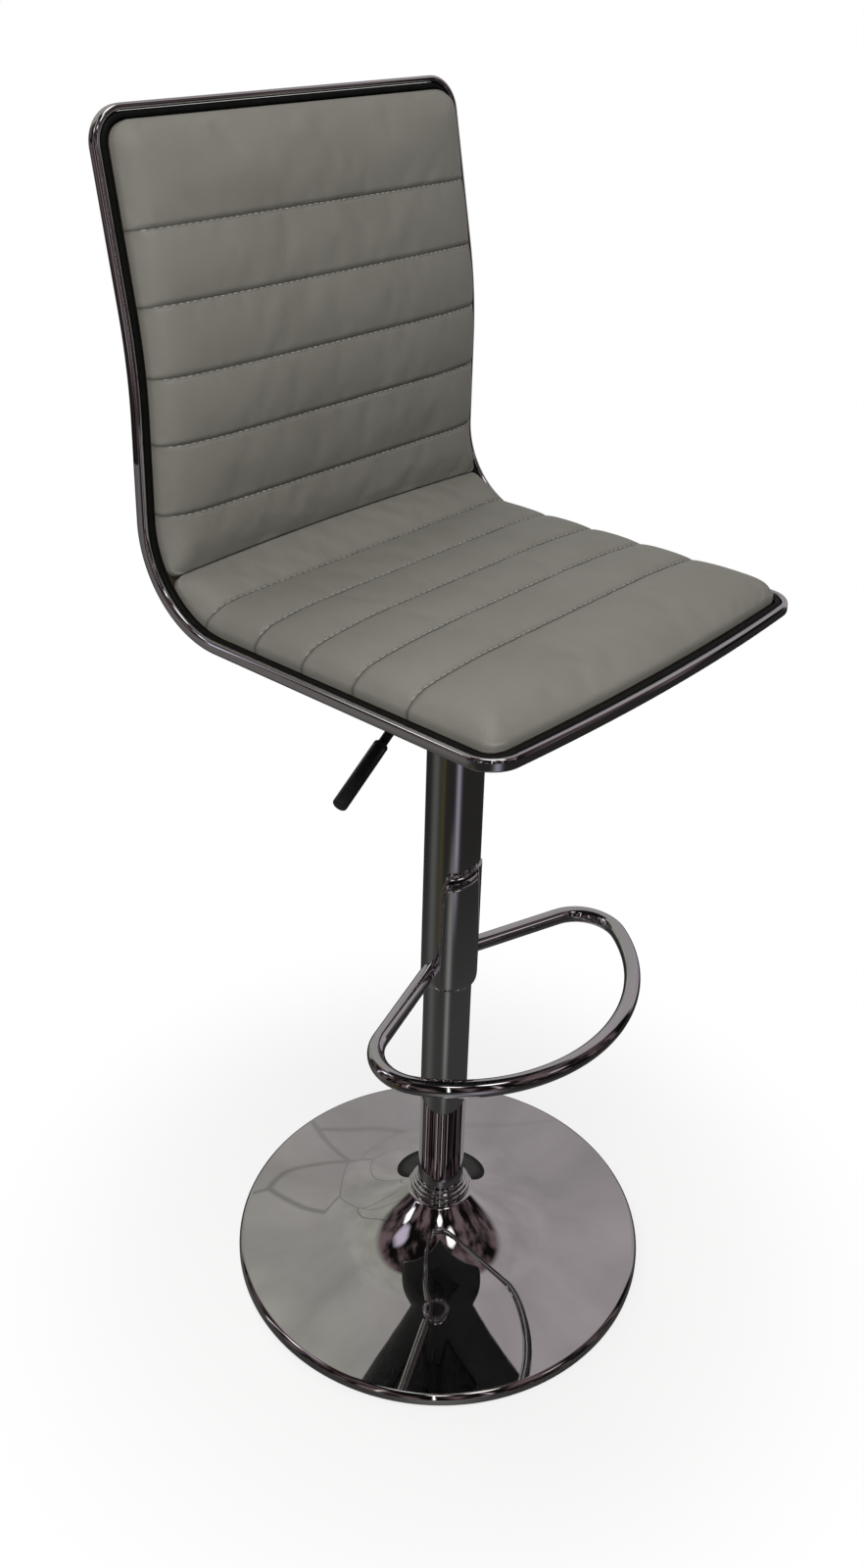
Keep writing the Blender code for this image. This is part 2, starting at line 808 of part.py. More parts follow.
swage = 0.004
cover_tube = turned(
    "cover_tube",
    [
        (COVER_BORE, COVER_TOP),
        (COVER_RADIUS, COVER_TOP),
        *arc(
            (COVER_RADIUS - 0.0014, COVER_BOTTOM + swage), 0.0014, 0.0, -math.pi / 2, 3
        ),
        (COVER_BORE, COVER_BOTTOM + swage - 0.0014),
    ],
    CHROME,
    COLUMN_FACETS,
)

cover_top_ring = turned(
    "cover_top_ring",
    tube_loop(HUB_RADIUS + GAP, COVER_BORE - GAP, COVER_TOP - 0.018, COVER_TOP),
    NYLON,
    COLUMN_FACETS,
)
cover_bush = turned(
    "cover_bush",
    tube_loop(
        COLUMN_RADIUS + RUNNING_GAP,
        COVER_BORE - GAP,
        COVER_BOTTOM + swage + 0.001,
        COVER_BOTTOM + swage + 0.031,
    ),
    NYLON,
    COLUMN_FACETS,
)

cuff_middle = (CUFF_BOTTOM + CUFF_TOP) / 2


def cuff_half_angle(height):
    """Half the cuff's wrap at a height, less in its rounded upper corners."""
    reach = max(0.0, 1.0 - (CUFF_TOP - height) / CUFF_CORNER_HEIGHT)
    rounded = CUFF_CORNER_WIDTH * (1.0 - math.sqrt(max(0.0, 1.0 - reach**2)))
    return CUFF_HALF_ANGLE - rounded / CUFF_INNER


cuff_rows = [CUFF_BOTTOM, cuff_middle]
cuff_rows += [
    CUFF_TOP - CUFF_CORNER_HEIGHT * (1.0 - math.sin(math.pi / 2 * i / 5)) for i in range(6)
]
cuff_columns = 12
work = grid(cuff_columns, len(cuff_rows) - 1)
for vertex in work.verts:
    height = cuff_rows[int(vertex.co.y)]
    turn = (2.0 * vertex.co.x / cuff_columns - 1.0) * cuff_half_angle(height)
    vertex.co = (CUFF_INNER * math.sin(turn), -CUFF_INNER * math.cos(turn), height)
bmesh.ops.recalc_face_normals(work, faces=work.faces[:])
if sum((face.normal.y for face in work.faces)) > 0.0:
    bmesh.ops.reverse_faces(work, faces=work.faces[:])
cuff_mesh = bpy.data.meshes.new("footrest_cuff")
work.to_mesh(cuff_mesh)
work.free()
footrest_cuff = add("footrest_cuff", cuff_mesh, CHROME)
cuff_solid = footrest_cuff.modifiers.new("thickness", "SOLIDIFY")
cuff_solid.thickness = CUFF_SHEET
cuff_solid.offset = 1.0


def footrest_half():
    """(x, y) points of the loop's right half, from the arm's root to the front."""
    run = Vector((math.cos(FOOTREST_ARM_SLOPE), -math.sin(FOOTREST_ARM_SLOPE)))
    inwards = Vector((-math.sin(FOOTREST_ARM_SLOPE), -math.cos(FOOTREST_ARM_SLOPE)))
    root = Vector((COVER_RADIUS, FOOTREST_ARM_Y))
    middle = Vector((0.0, FOOTREST_CENTRE_Y))
    away = root + inwards * FOOTREST_BEND - middle
    reach = FOOTREST_RADIUS - FOOTREST_BEND
    along = away.dot(run)
    step = -along + math.sqrt(along**2 - away.length_squared + reach**2)
    bend = middle + away + run * step
    outward = (bend - middle).normalized()
    bend_from = math.atan2(-inwards.y, -inwards.x)
    bend_to = math.atan2(outward.y, outward.x)
    half = [tuple(root - run * 0.006)]
    half += arc(bend, FOOTREST_BEND, bend_from, bend_to, 8)
    half += arc(middle, FOOTREST_RADIUS, bend_to, -math.pi / 2, 12)[1:]
    return half


right_half = footrest_half()
loop_path = right_half + [(-x, y) for x, y in reversed(right_half[:-1])]
footrest_loop = swept(
    "footrest_loop",
    [(x, y, FOOTREST_HEIGHT) for x, y in loop_path],
    FOOTREST_TUBE,
    10,
    CHROME,
)
loop_cutter = turned(
    "footrest_root_cutter",
    [
        (0.0, FOOTREST_HEIGHT + 2 * FOOTREST_TUBE),
        (CUFF_INNER, FOOTREST_HEIGHT + 2 * FOOTREST_TUBE),
        (CUFF_INNER, FOOTREST_HEIGHT - 2 * FOOTREST_TUBE),
        (0.0, FOOTREST_HEIGHT - 2 * FOOTREST_TUBE),
    ],
    None,
    COLUMN_FACETS,
    HELPERS,
)
cut(footrest_loop, loop_cutter)

# Seat and back

SHELL_BOTTOM = SKIN_BOTTOM + COVER_SKIN + GAP
BAND_INSET = FRAME_WIDTH + GAP
SHELL_INSET = BAND_INSET + BAND_WIDTH + GAP
PAD_INSET = BAND_INSET + BAND_WIDTH + GAP

frame_arc = FRAME_WIDTH / 2
frame_straight = FRAME_DEPTH / 2 - frame_arc
frame_section = flat_section(
    "seat_frame_section",
    arc((0.0, frame_straight), frame_arc, 0.0, math.pi, 5)
    + arc((0.0, -frame_straight), frame_arc, math.pi, math.tau, 5),
)
seat_frame = swept(
    "seat_frame", outline(FRAME_WIDTH / 2), 0.0, 0, CHROME, cyclic=True, section=frame_section
)
for vertex in seat_frame.data.vertices:
    vertex.co.z += FRAME_DEPTH / 2 - FRAME_DROP
bend_mesh(seat_frame)

band_low = SHELL_BOTTOM
band_half = BAND_WIDTH / 2
band_section = flat_section(
    "edge_band_section",
    [(-band_half, 0.0), (band_half, 0.0)]
    + arc((0.0, BAND_TOP - band_low - band_half), band_half, 0.0, math.pi, 4),
)
edge_band = swept(
    "edge_band",
    outline(BAND_INSET + band_half),
    0.0,
    0,
    EDGE,
    cyclic=True,
    section=band_section,
)
for vertex in edge_band.data.vertices:
    vertex.co.z += band_low
bend_mesh(edge_band)

rear_cover = sheet("rear_cover", FRAME_WIDTH + GAP, SKIN_BOTTOM, COVER_SKIN, SKIN)
seat_shell = sheet("seat_shell", SHELL_INSET, SHELL_BOTTOM, SHELL_THICK, PLY)
crease_gap = GAP / 2
seat_cushion = pad(
    "seat_cushion",
    PAD_INSET,
    CREASE - crease_gap,
    SEAT_SEAMS,
    (FRONT_CORNER - PAD_INSET, CREASE_CORNER),
    True,
    HIDE,
)
back_cushion = pad(
    "back_cushion",
    CREASE + crease_gap,
    LINE_LENGTH - PAD_INSET,
    BACK_SEAMS,
    (CREASE_CORNER, TOP_CORNER - PAD_INSET),
    False,
    HIDE,
)

# Seat plate, hub and bolts. They stand square to the seat's underside.

plate_level = SKIN_BOTTOM - GAP
tilt = Matrix.Translation((0.0, 0.0, SEAT_UNDER)) @ Matrix.Rotation(-SEAT_FALL, 4, "X")
plate_half = PLATE_SIDE / 2
seat_plate = block(
    "seat_plate",
    (-plate_half, -plate_half, plate_level - PLATE_FLANGE),
    (plate_half, plate_half, plate_level),
    STEEL,
)
seat_plate.matrix_world = tilt
tray = block(
    "seat_plate_tray",
    (-plate_half + PLATE_THICK, -plate_half + PLATE_THICK, plate_level - PLATE_FLANGE - 0.01),
    (plate_half - PLATE_THICK, plate_half - PLATE_THICK, plate_level - PLATE_THICK),
    None,
    HELPERS,
)
tray.matrix_world = tilt
cut(seat_plate, tray)
plate_under = plate_level - PLATE_THICK

shell_top = SHELL_BOTTOM + SHELL_THICK
nut_flange = 0.0012
nut_barrel = BOLT_RADIUS + 0.0013
seat_bolts = []
tee_nuts = []
corners = ((1, 1), (-1, 1), (-1, -1), (1, -1))
for i, (side, end) in enumerate(corners):
    square = tilt @ Matrix.Translation((side * BOLT_SPREAD, end * BOLT_SPREAD, 0.0))
    small_hole = turned(
        f"seat_bolt_hole_{i + 1}",
        [
            (0.0, SHELL_BOTTOM + 0.0001),
            (BOLT_HOLE, SHELL_BOTTOM + 0.0001),
            (BOLT_HOLE, -0.02),
            (0.0, -0.02),
        ],
        None,
        12,
        HELPERS,
    )
    small_hole.matrix_world = square
    nut_hole = turned(
        f"tee_nut_hole_{i + 1}",
        [
            (0.0, shell_top + 0.01),
            (0.0084, shell_top + 0.01),
            (0.0084, shell_top - nut_flange - GAP),
            (nut_barrel + GAP, shell_top - nut_flange - GAP),
            (nut_barrel + GAP, SHELL_BOTTOM - 0.01),
            (0.0, SHELL_BOTTOM - 0.01),
        ],
        None,
        12,
        HELPERS,
    )
    nut_hole.matrix_world = square
    cut(seat_plate, small_hole)
    cut(rear_cover, small_hole)
    cut(seat_shell, nut_hole)
    bolt = turned(
        f"seat_bolt_{i + 1}",
        [
            (0.0, shell_top - 0.0008),
            (BOLT_RADIUS, shell_top - 0.0008),
            (BOLT_RADIUS, plate_under - GAP),
            (0.0055, plate_under - GAP),
            (0.0055, plate_under - GAP - 0.004),
            (0.0, plate_under - GAP - 0.004),
        ],
        STEEL,
        12,
    )
    bolt.matrix_world = square
    seat_bolts.append(bolt)
    nut = turned(
        f"tee_nut_{i + 1}",
        [
            (BOLT_RADIUS + GAP, shell_top - 0.0001),
            (0.008, shell_top - 0.0001),
            (0.008, shell_top - nut_flange),
            (nut_barrel, shell_top - nut_flange),
            (nut_barrel, SHELL_BOTTOM + 0.0004),
            (BOLT_RADIUS + GAP, SHELL_BOTTOM + 0.0004),
        ],
        STEEL,
        12,
    )
    nut.matrix_world = square
    tee_nuts.append(nut)

above_plate = block(
    "above_plate_cutter", (-0.1, -0.1, plate_under - GAP), (0.1, 0.1, 0.05), None, HELPERS
)
above_plate.matrix_world = tilt

taper_hub = turned(
    "taper_hub",
    tube_loop(CYLINDER_RADIUS + GAP, HUB_RADIUS, HUB_BOTTOM, SEAT_UNDER + 0.004),
    STEEL,
    COLUMN_FACETS,
)
cut(taper_hub, above_plate)

# Lever group. Its frame has +X out along the lever and +Y across it.

lever_frame = Matrix.Rotation(math.pi + LEVER_TURN, 4, "Z")
lever_slot = block(
    "lever_slot_cutter",
    (0.0, -LEVER_ROD - 0.0012, LEVER_HEIGHT - LEVER_ROD - 0.0026),
    (HUB_RADIUS + 0.01, LEVER_ROD + 0.0012, LEVER_HEIGHT + LEVER_ROD + 0.0025),
    None,
    HELPERS,
)
lever_slot.matrix_world = lever_frame
cut(taper_hub, lever_slot)

pivot_drop = (LEVER_PIVOT - LEVER_KNEE) * math.tan(LEVER_SLOPE)
pivot_height = LEVER_HEIGHT - pivot_drop
cheek_out = CHEEK_INSIDE + CHEEK_THICK
lever_bracket = block(
    "lever_bracket",
    (LEVER_PIVOT - 0.0065, -cheek_out, pivot_height - 0.0065),
    (LEVER_PIVOT + 0.0070, cheek_out, SEAT_UNDER + 0.004),
    STEEL,
)
lever_bracket.matrix_world = lever_frame
channel = block(
    "lever_bracket_channel",
    (LEVER_PIVOT - 0.05, -CHEEK_INSIDE, pivot_height - 0.02),
    (LEVER_PIVOT + 0.05, CHEEK_INSIDE, SEAT_UNDER - 0.006),
    None,
    HELPERS,
)
channel.matrix_world = lever_frame
across = (
    lever_frame
    @ Matrix.Translation((LEVER_PIVOT, 0.0, pivot_height))
    @ Matrix.Rotation(math.pi / 2, 4, "X")
)
pivot_hole = turned(
    "lever_pivot_hole",
    [
        (0.0, 0.02),
        (PIVOT_RADIUS + PIN_GAP, 0.02),
        (PIVOT_RADIUS + PIN_GAP, -0.02),
        (0.0, -0.02),
    ],
    None,
    SMALL,
    HELPERS,
)
pivot_hole.matrix_world = across
cut(lever_bracket, above_plate)
cut(lever_bracket, channel)
cut(lever_bracket, pivot_hole)
lever_pivot_pin = turned(
    "lever_pivot_pin",
    [
        (0.0, cheek_out + GAP + 0.0012),
        (0.0035, cheek_out + GAP + 0.0012),
        (0.0035, cheek_out + GAP),
        (PIVOT_RADIUS, cheek_out + GAP),
        (PIVOT_RADIUS, -cheek_out - 0.0010),
        (0.0, -cheek_out - 0.0010),
    ],
    STEEL,
    SMALL,
)
lever_pivot_pin.matrix_world = across

knee_radius = 0.012
knee_back = knee_radius * math.tan(LEVER_SLOPE / 2)
knee_arc = arc(
    (LEVER_KNEE - knee_back, LEVER_HEIGHT - knee_radius),
    knee_radius,
    math.pi / 2,
    math.pi / 2 - LEVER_SLOPE,
    4,
)


def lever_line(out):
    """Height of the lever's sloping part at a distance out from the column's axis."""
    return LEVER_HEIGHT - (out - LEVER_KNEE) * math.tan(LEVER_SLOPE)


rod_end = GRIP_END - 0.007
lever_path = [(-0.004, LEVER_HEIGHT), *knee_arc, (rod_end, lever_line(rod_end))]
lever_rod = swept(
    "lever_rod", [(out, 0.0, up) for out, up in lever_path], LEVER_ROD, 12, BLACK
)
lever_rod.data.transform(lever_frame)
cut(lever_rod, pivot_hole)

grip_length = (GRIP_END - GRIP_START) / math.cos(LEVER_SLOPE)
bore_depth = (rod_end - GRIP_START) / math.cos(LEVER_SLOPE) + 0.001
lever_grip = turned(
    "lever_grip",
    [
        (0.0, grip_length),
        (GRIP_RADIUS - 0.0022, grip_length),
        (GRIP_RADIUS - 0.0006, grip_length - 0.0008),
        (GRIP_RADIUS, grip_length - 0.0026),
        (GRIP_RADIUS, 0.0022),
        (GRIP_RADIUS - 0.0005, 0.0007),
        (GRIP_RADIUS - 0.0014, 0.0),
        (GRIP_BORE, 0.0),
        (GRIP_BORE, bore_depth),
        (0.0, bore_depth),
    ],
    NYLON,
    SMALL,
)
lever_grip.matrix_world = (
    lever_frame
    @ Matrix.Translation((GRIP_START, 0.0, lever_line(GRIP_START)))
    @ Matrix.Rotation(math.pi / 2 + LEVER_SLOPE, 4, "Y")
)

# Release pin on top of the gas cylinder

pin_top = LEVER_HEIGHT - LEVER_ROD - 2 * GAP
release_pin = turned(
    "release_pin",
    [
        (0.0, pin_top),
        (RELEASE_RADIUS, pin_top),
        (RELEASE_RADIUS, CYLINDER_TOP - 0.014),
        (RELEASE_RADIUS + 0.0025, CYLINDER_TOP - 0.014),
        (RELEASE_RADIUS + 0.0025, CYLINDER_TOP - 0.022),
        (0.0, CYLINDER_TOP - 0.022),
    ],
    STEEL,
    SMALL,
)

# Joint axes. The moving pieces hang from an empty on their own axis.

swivel_axis = axis_empty("seat_swivel_axis", (0.0, 0.0, shoulder))
hang([piston_rod, bearing_race_upper, rod_clip], swivel_axis)
lift_axis = axis_empty("gas_lift_axis", (0.0, 0.0, SEAT_UNDER))
hang(
    [
        gas_cylinder,
        cover_tube,
        cover_top_ring,
        cover_bush,
        footrest_cuff,
        footrest_loop,
        taper_hub,
        seat_plate,
        lever_bracket,
        lever_pivot_pin,
        seat_shell,
        rear_cover,
        seat_frame,
        edge_band,
        seat_cushion,
        back_cushion,
        *seat_bolts,
        *tee_nuts,
    ],
    lift_axis,
)
lever_axis = axis_empty("lever_axis", lever_frame @ Vector((LEVER_PIVOT, 0.0, pivot_height)))
hang([lever_rod, lever_grip], lever_axis)
release_axis = axis_empty("release_axis", (0.0, 0.0, CYLINDER_TOP))
hang([release_pin], release_axis)
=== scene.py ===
"""Looks of the bar stool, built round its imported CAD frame.

Metres, +Z up, the foot's middle at the origin and the sitter facing -Y. Each new piece is modelled where
it stands and takes the place of its CAD node. The pads are blown up by cloth simulation and then sewn.
"""

from __future__ import annotations

import logging
import math
from collections.abc import Callable
from dataclasses import dataclass
from enum import Enum
from functools import cached_property

import bmesh
import bpy
from mathutils import Matrix, Vector
from mathutils.bvhtree import BVHTree

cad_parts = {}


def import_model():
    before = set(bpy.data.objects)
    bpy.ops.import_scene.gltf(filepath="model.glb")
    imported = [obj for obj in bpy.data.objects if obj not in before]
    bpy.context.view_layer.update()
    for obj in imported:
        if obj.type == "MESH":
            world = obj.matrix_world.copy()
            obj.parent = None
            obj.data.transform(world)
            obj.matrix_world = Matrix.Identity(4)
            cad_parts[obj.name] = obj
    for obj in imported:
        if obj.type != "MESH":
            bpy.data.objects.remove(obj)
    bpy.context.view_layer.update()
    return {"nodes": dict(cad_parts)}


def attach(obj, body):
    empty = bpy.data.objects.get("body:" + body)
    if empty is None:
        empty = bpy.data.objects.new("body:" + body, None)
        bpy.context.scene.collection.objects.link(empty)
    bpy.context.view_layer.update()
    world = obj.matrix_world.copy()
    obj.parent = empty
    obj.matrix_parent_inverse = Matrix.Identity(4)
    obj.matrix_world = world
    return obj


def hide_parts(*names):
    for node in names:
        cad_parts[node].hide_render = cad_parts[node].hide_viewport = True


LOG = logging.getLogger("bar_stool")
WHITE = (1.0, 1.0, 1.0, 1.0)
UPRIGHT = (0.0, 0.0, 1.0)

Point2 = tuple[float, float]
Point3 = tuple[float, float, float]
Colour = tuple[float, float, float]
Node = bpy.types.Node
Socket = bpy.types.NodeSocket
Piece = bpy.types.Object


class Body(Enum):
    """The CAD bodies that pieces ride on."""

    BASE = "base"
    SEAT = "seat"
    LEVER = "lever"


class Slot(Enum):
    """The record's material slots."""

    CHROME = "chrome"
    RUBBER = "rubber"
    CAST_IRON = "cast_iron"
    STEEL = "steel"
    BLACK_METAL = "black_metal"
    NYLON = "nylon"
    GRIP = "grip_plastic"
    EDGE = "edge_vinyl"
    REAR = "rear_vinyl"
    LEATHER = "faux_leather"
    PLYWOOD = "plywood"


class Grain(Enum):
    """What the fine relief of a finish looks like."""

    FINE = "fine"
    PEBBLE = "pebble"
    BRUSHED = "brushed"
    TWIST = "twist"
    VENEER = "veneer"


class NodeDesk:
    """The node tree of a material or of the world, cleared and ready for its nodes."""

    def __init__(self, owner: bpy.types.Material | bpy.types.World, kind: str = "Material") -> None:
        """Clears the tree and adds its output.

        Args:
            owner: The material or the world.
            kind: Which of the two it is.
        """
        self.owner = owner
        owner.use_nodes = True
        self.tree = owner.node_tree
        self.tree.nodes.clear()
        self.output = self.add("Output" + kind)

    def add(self, kind: str, **settings: object) -> Node:
        """Adds a node and sets its properties.

        Args:
            kind: The node's type without its ShaderNode prefix.
            settings: Properties of the node.

        Returns:
            The node.
        """
        node = self.tree.nodes.new("ShaderNode" + kind)
        for name, value in settings.items():
            setattr(node, name, value)
        return node

    def plug(self, socket: Socket, value: object) -> None:
        """Links another node's result to an input, or sets the input to a value.

        Args:
            socket: The input.
            value: The result or the value.
        """
        if isinstance(value, Socket):
            self.tree.links.new(value, socket)
        else:
            socket.default_value = value

    def feed(self, node: Node, **values: object) -> Node:
        """Plugs a node's inputs by name.

        Args:
            node: The node.
            values: Results or values, named as the inputs are, with spaces as underscores.

        Returns:
            The node.
        """
        for name, value in values.items():
            self.plug(node.inputs[name.replace("_", " ")], value)
        return node

    def line_up(self, node: Node, *values: object) -> Node:
        """Plugs a node's inputs in order.

        Args:
            node: The node.
            values: Results or values.

        Returns:
            The node.
        """
        for socket, value in zip(node.inputs, values):
            self.plug(socket, value)
        return node

    def math(self, operation: str, *values: Socket | float) -> Socket:
        """The result of a Math node."""
        return self.line_up(self.add("Math", operation=operation), *values).outputs[0]

    def vector(self, operation: str, *values: object) -> Node:
        """A Vector Math node."""
        return self.line_up(self.add("VectorMath", operation=operation), *values)

    def place(self, scale: Point3 = (1.0, 1.0, 1.0)) -> Socket:
        """Object coordinates, stretched along each axis."""
        where = self.add("TexCoord").outputs["Object"]
        return self.feed(self.add("Mapping"), Vector=where, Scale=scale).outputs["Vector"]

    def noise(self, where: Socket, scale: float, detail: float = 3.0) -> Socket:
        """Noise from 0 to 1, its scale in waves per metre and its detail in octaves."""
        return self.feed(self.add("TexNoise"), Vector=where, Scale=scale, Detail=detail).outputs["Fac"]

    def wave(self, bands: str, where: Socket, scale: float, distortion: float) -> Socket:
        """Wavy bands across a direction."""
        node = self.add("TexWave", bands_direction=bands)
        return self.feed(node, Vector=where, Scale=scale, Distortion=distortion).outputs["Fac"]

    def remap(self, value: Socket, start: float, end: float, low: float, high: float, soft: bool) -> Socket:
        """Maps one range onto another.

        Args:
            value: What is mapped.
            start: Where its range starts.
            end: Where its range ends.
            low: Result at the start and before it.
            high: Result at the end and past it.
            soft: Whether both ends are eased.

        Returns:
            The mapped value.
        """
        node = self.add("MapRange", clamp=True, interpolation_type="SMOOTHSTEP" if soft else "LINEAR")
        self.feed(node, Value=value, From_Min=start, From_Max=end, To_Min=low, To_Max=high)
        return node.outputs["Result"]

    def between(self, noise: Socket, low: float, high: float) -> Socket:
        """Noise, which mostly fills 0.3 to 0.7, spread from low to high."""
        return self.remap(noise, 0.3, 0.7, low, high, False)

    def step(self, value: Socket, start: float, end: float) -> Socket:
        """A soft step from 0 to 1."""
        return self.remap(value, start, end, 0.0, 1.0, True)

    def blend(self, share: Socket, first: Socket | Colour, second: Socket | Colour) -> Socket:
        """Mixes two colours.

        Args:
            share: How much of the second colour.
            first: A colour or a node's result.
            second: A colour or a node's result.

        Returns:
            The mixed colour.
        """
        node = self.feed(self.add("Mix", data_type="RGBA"), Factor=share)
        for socket, value in zip((node.inputs[6], node.inputs[7]), (first, second)):
            self.plug(socket, value if isinstance(value, Socket) else (*value, 1.0))
        return node.outputs[2]

    def relief(self, height: Socket, depth: float, strength: float, under: Socket | None = None) -> Socket:
        """A bump.

        Args:
            height: Height from 0 to 1.
            depth: Depth of the relief in metres.
            strength: How much of it shows.
            under: The normal of a coarser bump, if there is one.

        Returns:
            The bumped normal.
        """
        node = self.feed(self.add("Bump"), Height=height, Distance=depth, Strength=strength)
        if under is not None:
            self.feed(node, Normal=under)
        return node.outputs["Normal"]

    def mix(self, share: Socket, first: Node, second: Node) -> Node:
        """Mixes two shaders by the second one's share."""
        return self.line_up(self.add("MixShader"), share, first.outputs[0], second.outputs[0])

    def looked_at(self) -> Socket:
        """Tells rays that look from rays that light.

        Returns:
            1 for rays of the camera and for mirrored and transmitted ones, 0 for all others.
        """
        rays = self.add("LightPath").outputs
        seen = self.math("ADD", rays["Is Camera Ray"], rays["Is Glossy Ray"])
        return self.math("MINIMUM", self.math("ADD", seen, rays["Is Transmission Ray"]), 1.0)

    def close(self, shader: Node) -> bpy.types.Material | bpy.types.World:
        """Links the last shader to the output and hands over the material or the world."""
        self.plug(self.output.inputs["Surface"], shader.outputs[0])
        return self.owner


@dataclass(frozen=True)
class Finish:
    """A surface finish with mottled colour, uneven gloss and a fine relief."""

    name: str  # Material name.
    slot: Slot  # The record's slot that it belongs to.
    colour: Colour  # Colour, linear.
    shade: Colour  # Colour of the mottled parts.
    metallic: float = 0.0  # 1 for bare metal.
    roughness: Point2 = (0.4, 0.5)  # Lowest and highest roughness.
    mottle: float = 40.0  # Mottles per metre.
    grain: Grain = Grain.FINE  # Kind of relief.
    grain_scale: float = 900.0  # Relief features per metre.
    grain_depth: float = 0.0001  # Depth of the relief in metres.
    grain_strength: float = 0.3  # How much of the relief shows.
    waviness: float = 0.0  # Depth of the slow waves of a pressed sheet in metres.
    sheen: float = 0.0  # Cloth-like sheen.
    specular: float = 0.5  # Strength of the surface reflection of a material that isn't metal.

    def grain_height(self, desk: NodeDesk) -> Socket:
        """The relief's height.

        Args:
            desk: The material's nodes.

        Returns:
            Height from 0 to 1.
        """
        if self.grain is Grain.PEBBLE:
            where = desk.place()
            cells = desk.add("TexVoronoi", feature="SMOOTH_F1")
            desk.feed(cells, Vector=where, Scale=self.grain_scale, Smoothness=0.6)
            folds = desk.math("MULTIPLY", desk.noise(where, self.grain_scale * 0.22, 4.0), 0.8)
            return desk.math("ADD", cells.outputs["Distance"], folds)
        if self.grain is Grain.TWIST:
            return desk.wave("DIAGONAL", desk.place(), self.grain_scale, 1.5)
        if self.grain is Grain.VENEER:
            return desk.wave("Y", desk.place((1.0, 0.1, 1.0)), self.grain_scale, 6.0)
        stretch = 0.04 if self.grain is Grain.BRUSHED else 1.0
        return desk.noise(desk.place((1.0, stretch, 1.0)), self.grain_scale, 2.0)

    def tint(self, desk: NodeDesk) -> Socket:
        """The mottled colour."""
        share = desk.between(desk.noise(desk.place(), self.mottle, 4.0), 0.0, 1.0)
        return desk.blend(share, self.colour, self.shade)

    def normal(self, desk: NodeDesk) -> Socket:
        """The grain over the sheet's slow waves.

        Args:
            desk: The material's nodes.

        Returns:
            The bumped normal.
        """
        slow = None
        if self.waviness:
            slow = desk.relief(desk.noise(desk.place(), 7.0, 1.0), self.waviness, 1.0)
        return desk.relief(self.grain_height(desk), self.grain_depth, self.grain_strength, slow)

    def make(self) -> bpy.types.Material:
        """Builds the material.

        Returns:
            The material.
        """
        desk = NodeDesk(bpy.data.materials.new(self.name))
        shader = desk.feed(
            desk.add("BsdfPrincipled"),
            Base_Color=self.tint(desk),
            Metallic=self.metallic,
            Roughness=desk.between(desk.noise(desk.place(), self.mottle * 2.3, 3.0), *self.roughness),
            Normal=self.normal(desk),
            Sheen_Weight=self.sheen,
            Specular_IOR_Level=self.specular,
        )
        return desk.close(shader)


@dataclass(frozen=True)
class SewnLeather(Finish):
    """Faux leather that knows how far each point lies from a seam, with painted shade laid into its seams.
    """

    painted_seam_shade: Colour = (0.05, 0.048, 0.042)  # Painted shade: the dark colour laid into a seam's groove, where shade falls.
    painted_shade_reach: float = 0.0011  # How far that painted shade reaches from the seam, in metres.
    pucker_depth: float = 0.0005  # Depth in metres of the puckers that the thread pulls.
    pucker_reach: float = 0.008  # How far they reach from the seam, in metres.
    pucker_scale: float = 95.0  # Puckers per metre.

    def seam_share(self, desk: NodeDesk, reach: float) -> Socket:
        """1 on a seam, falling off over a reach."""
        near = desk.add("Attribute", attribute_name="seam_distance").outputs["Fac"]
        return desk.math("EXPONENT", desk.math("DIVIDE", near, -reach))

    def tint(self, desk: NodeDesk) -> Socket:
        """The mottled colour, with painted shade darkening it down in the seams."""
        # Painted shade: the colour turns to the seam's dark shade close to each seam.
        return desk.blend(self.seam_share(desk, self.painted_shade_reach), super().tint(desk), self.painted_seam_shade)

    def normal(self, desk: NodeDesk) -> Socket:
        """The grain over the puckers beside the seams.

        Args:
            desk: The material's nodes.

        Returns:
            The bumped normal.
        """
        folds = desk.noise(desk.place((1.0, 0.25, 0.25)), self.pucker_scale, 1.0)
        folds = desk.math("MULTIPLY", folds, self.seam_share(desk, self.pucker_reach))
        puckers = desk.relief(folds, self.pucker_depth, 1.0)
        return desk.relief(self.grain_height(desk), self.grain_depth, self.grain_strength, puckers)


CHROME = Finish(
    "bright_chrome", Slot.CHROME, (0.78, 0.78, 0.79), (0.74, 0.74, 0.75), 1.0, (0.012, 0.03), 25.0,
    grain_scale=260.0, grain_depth=0.00001, grain_strength=0.05,
)
SPUN_CHROME = Finish(
    "spun_chrome", Slot.CHROME, (0.78, 0.77, 0.77), (0.72, 0.71, 0.71), 1.0, (0.014, 0.035), 14.0,
    grain_scale=300.0, grain_depth=0.00001, grain_strength=0.05, waviness=0.0007,
)
WELD = Finish(
    "plated_weld", Slot.CHROME, (0.84, 0.84, 0.84), (0.74, 0.73, 0.72), 1.0, (0.14, 0.26), 200.0,
    grain_scale=900.0, grain_depth=0.0001, grain_strength=0.15,
)
STEEL = Finish(
    "dark_steel", Slot.STEEL, (0.13, 0.13, 0.135), (0.08, 0.08, 0.083), 1.0, (0.34, 0.48), 60.0,
    Grain.BRUSHED, 2200.0, 0.00005, 0.3,
)
IRON = Finish(
    "cast_iron", Slot.CAST_IRON, (0.05, 0.05, 0.052), (0.03, 0.03, 0.03), 0.5, (0.6, 0.8), 80.0,
    grain_scale=700.0, grain_depth=0.0006, grain_strength=0.8,
)
RUBBER = Finish(
    "foot_rubber", Slot.RUBBER, (0.014, 0.014, 0.014), (0.022, 0.021, 0.02), 0.0, (0.6, 0.8), 90.0,
    grain_scale=1500.0, grain_depth=0.0002, grain_strength=0.5,
)
NYLON = Finish(
    "black_nylon", Slot.NYLON, (0.014, 0.014, 0.015), (0.02, 0.02, 0.021), 0.0, (0.4, 0.55), 70.0,
)
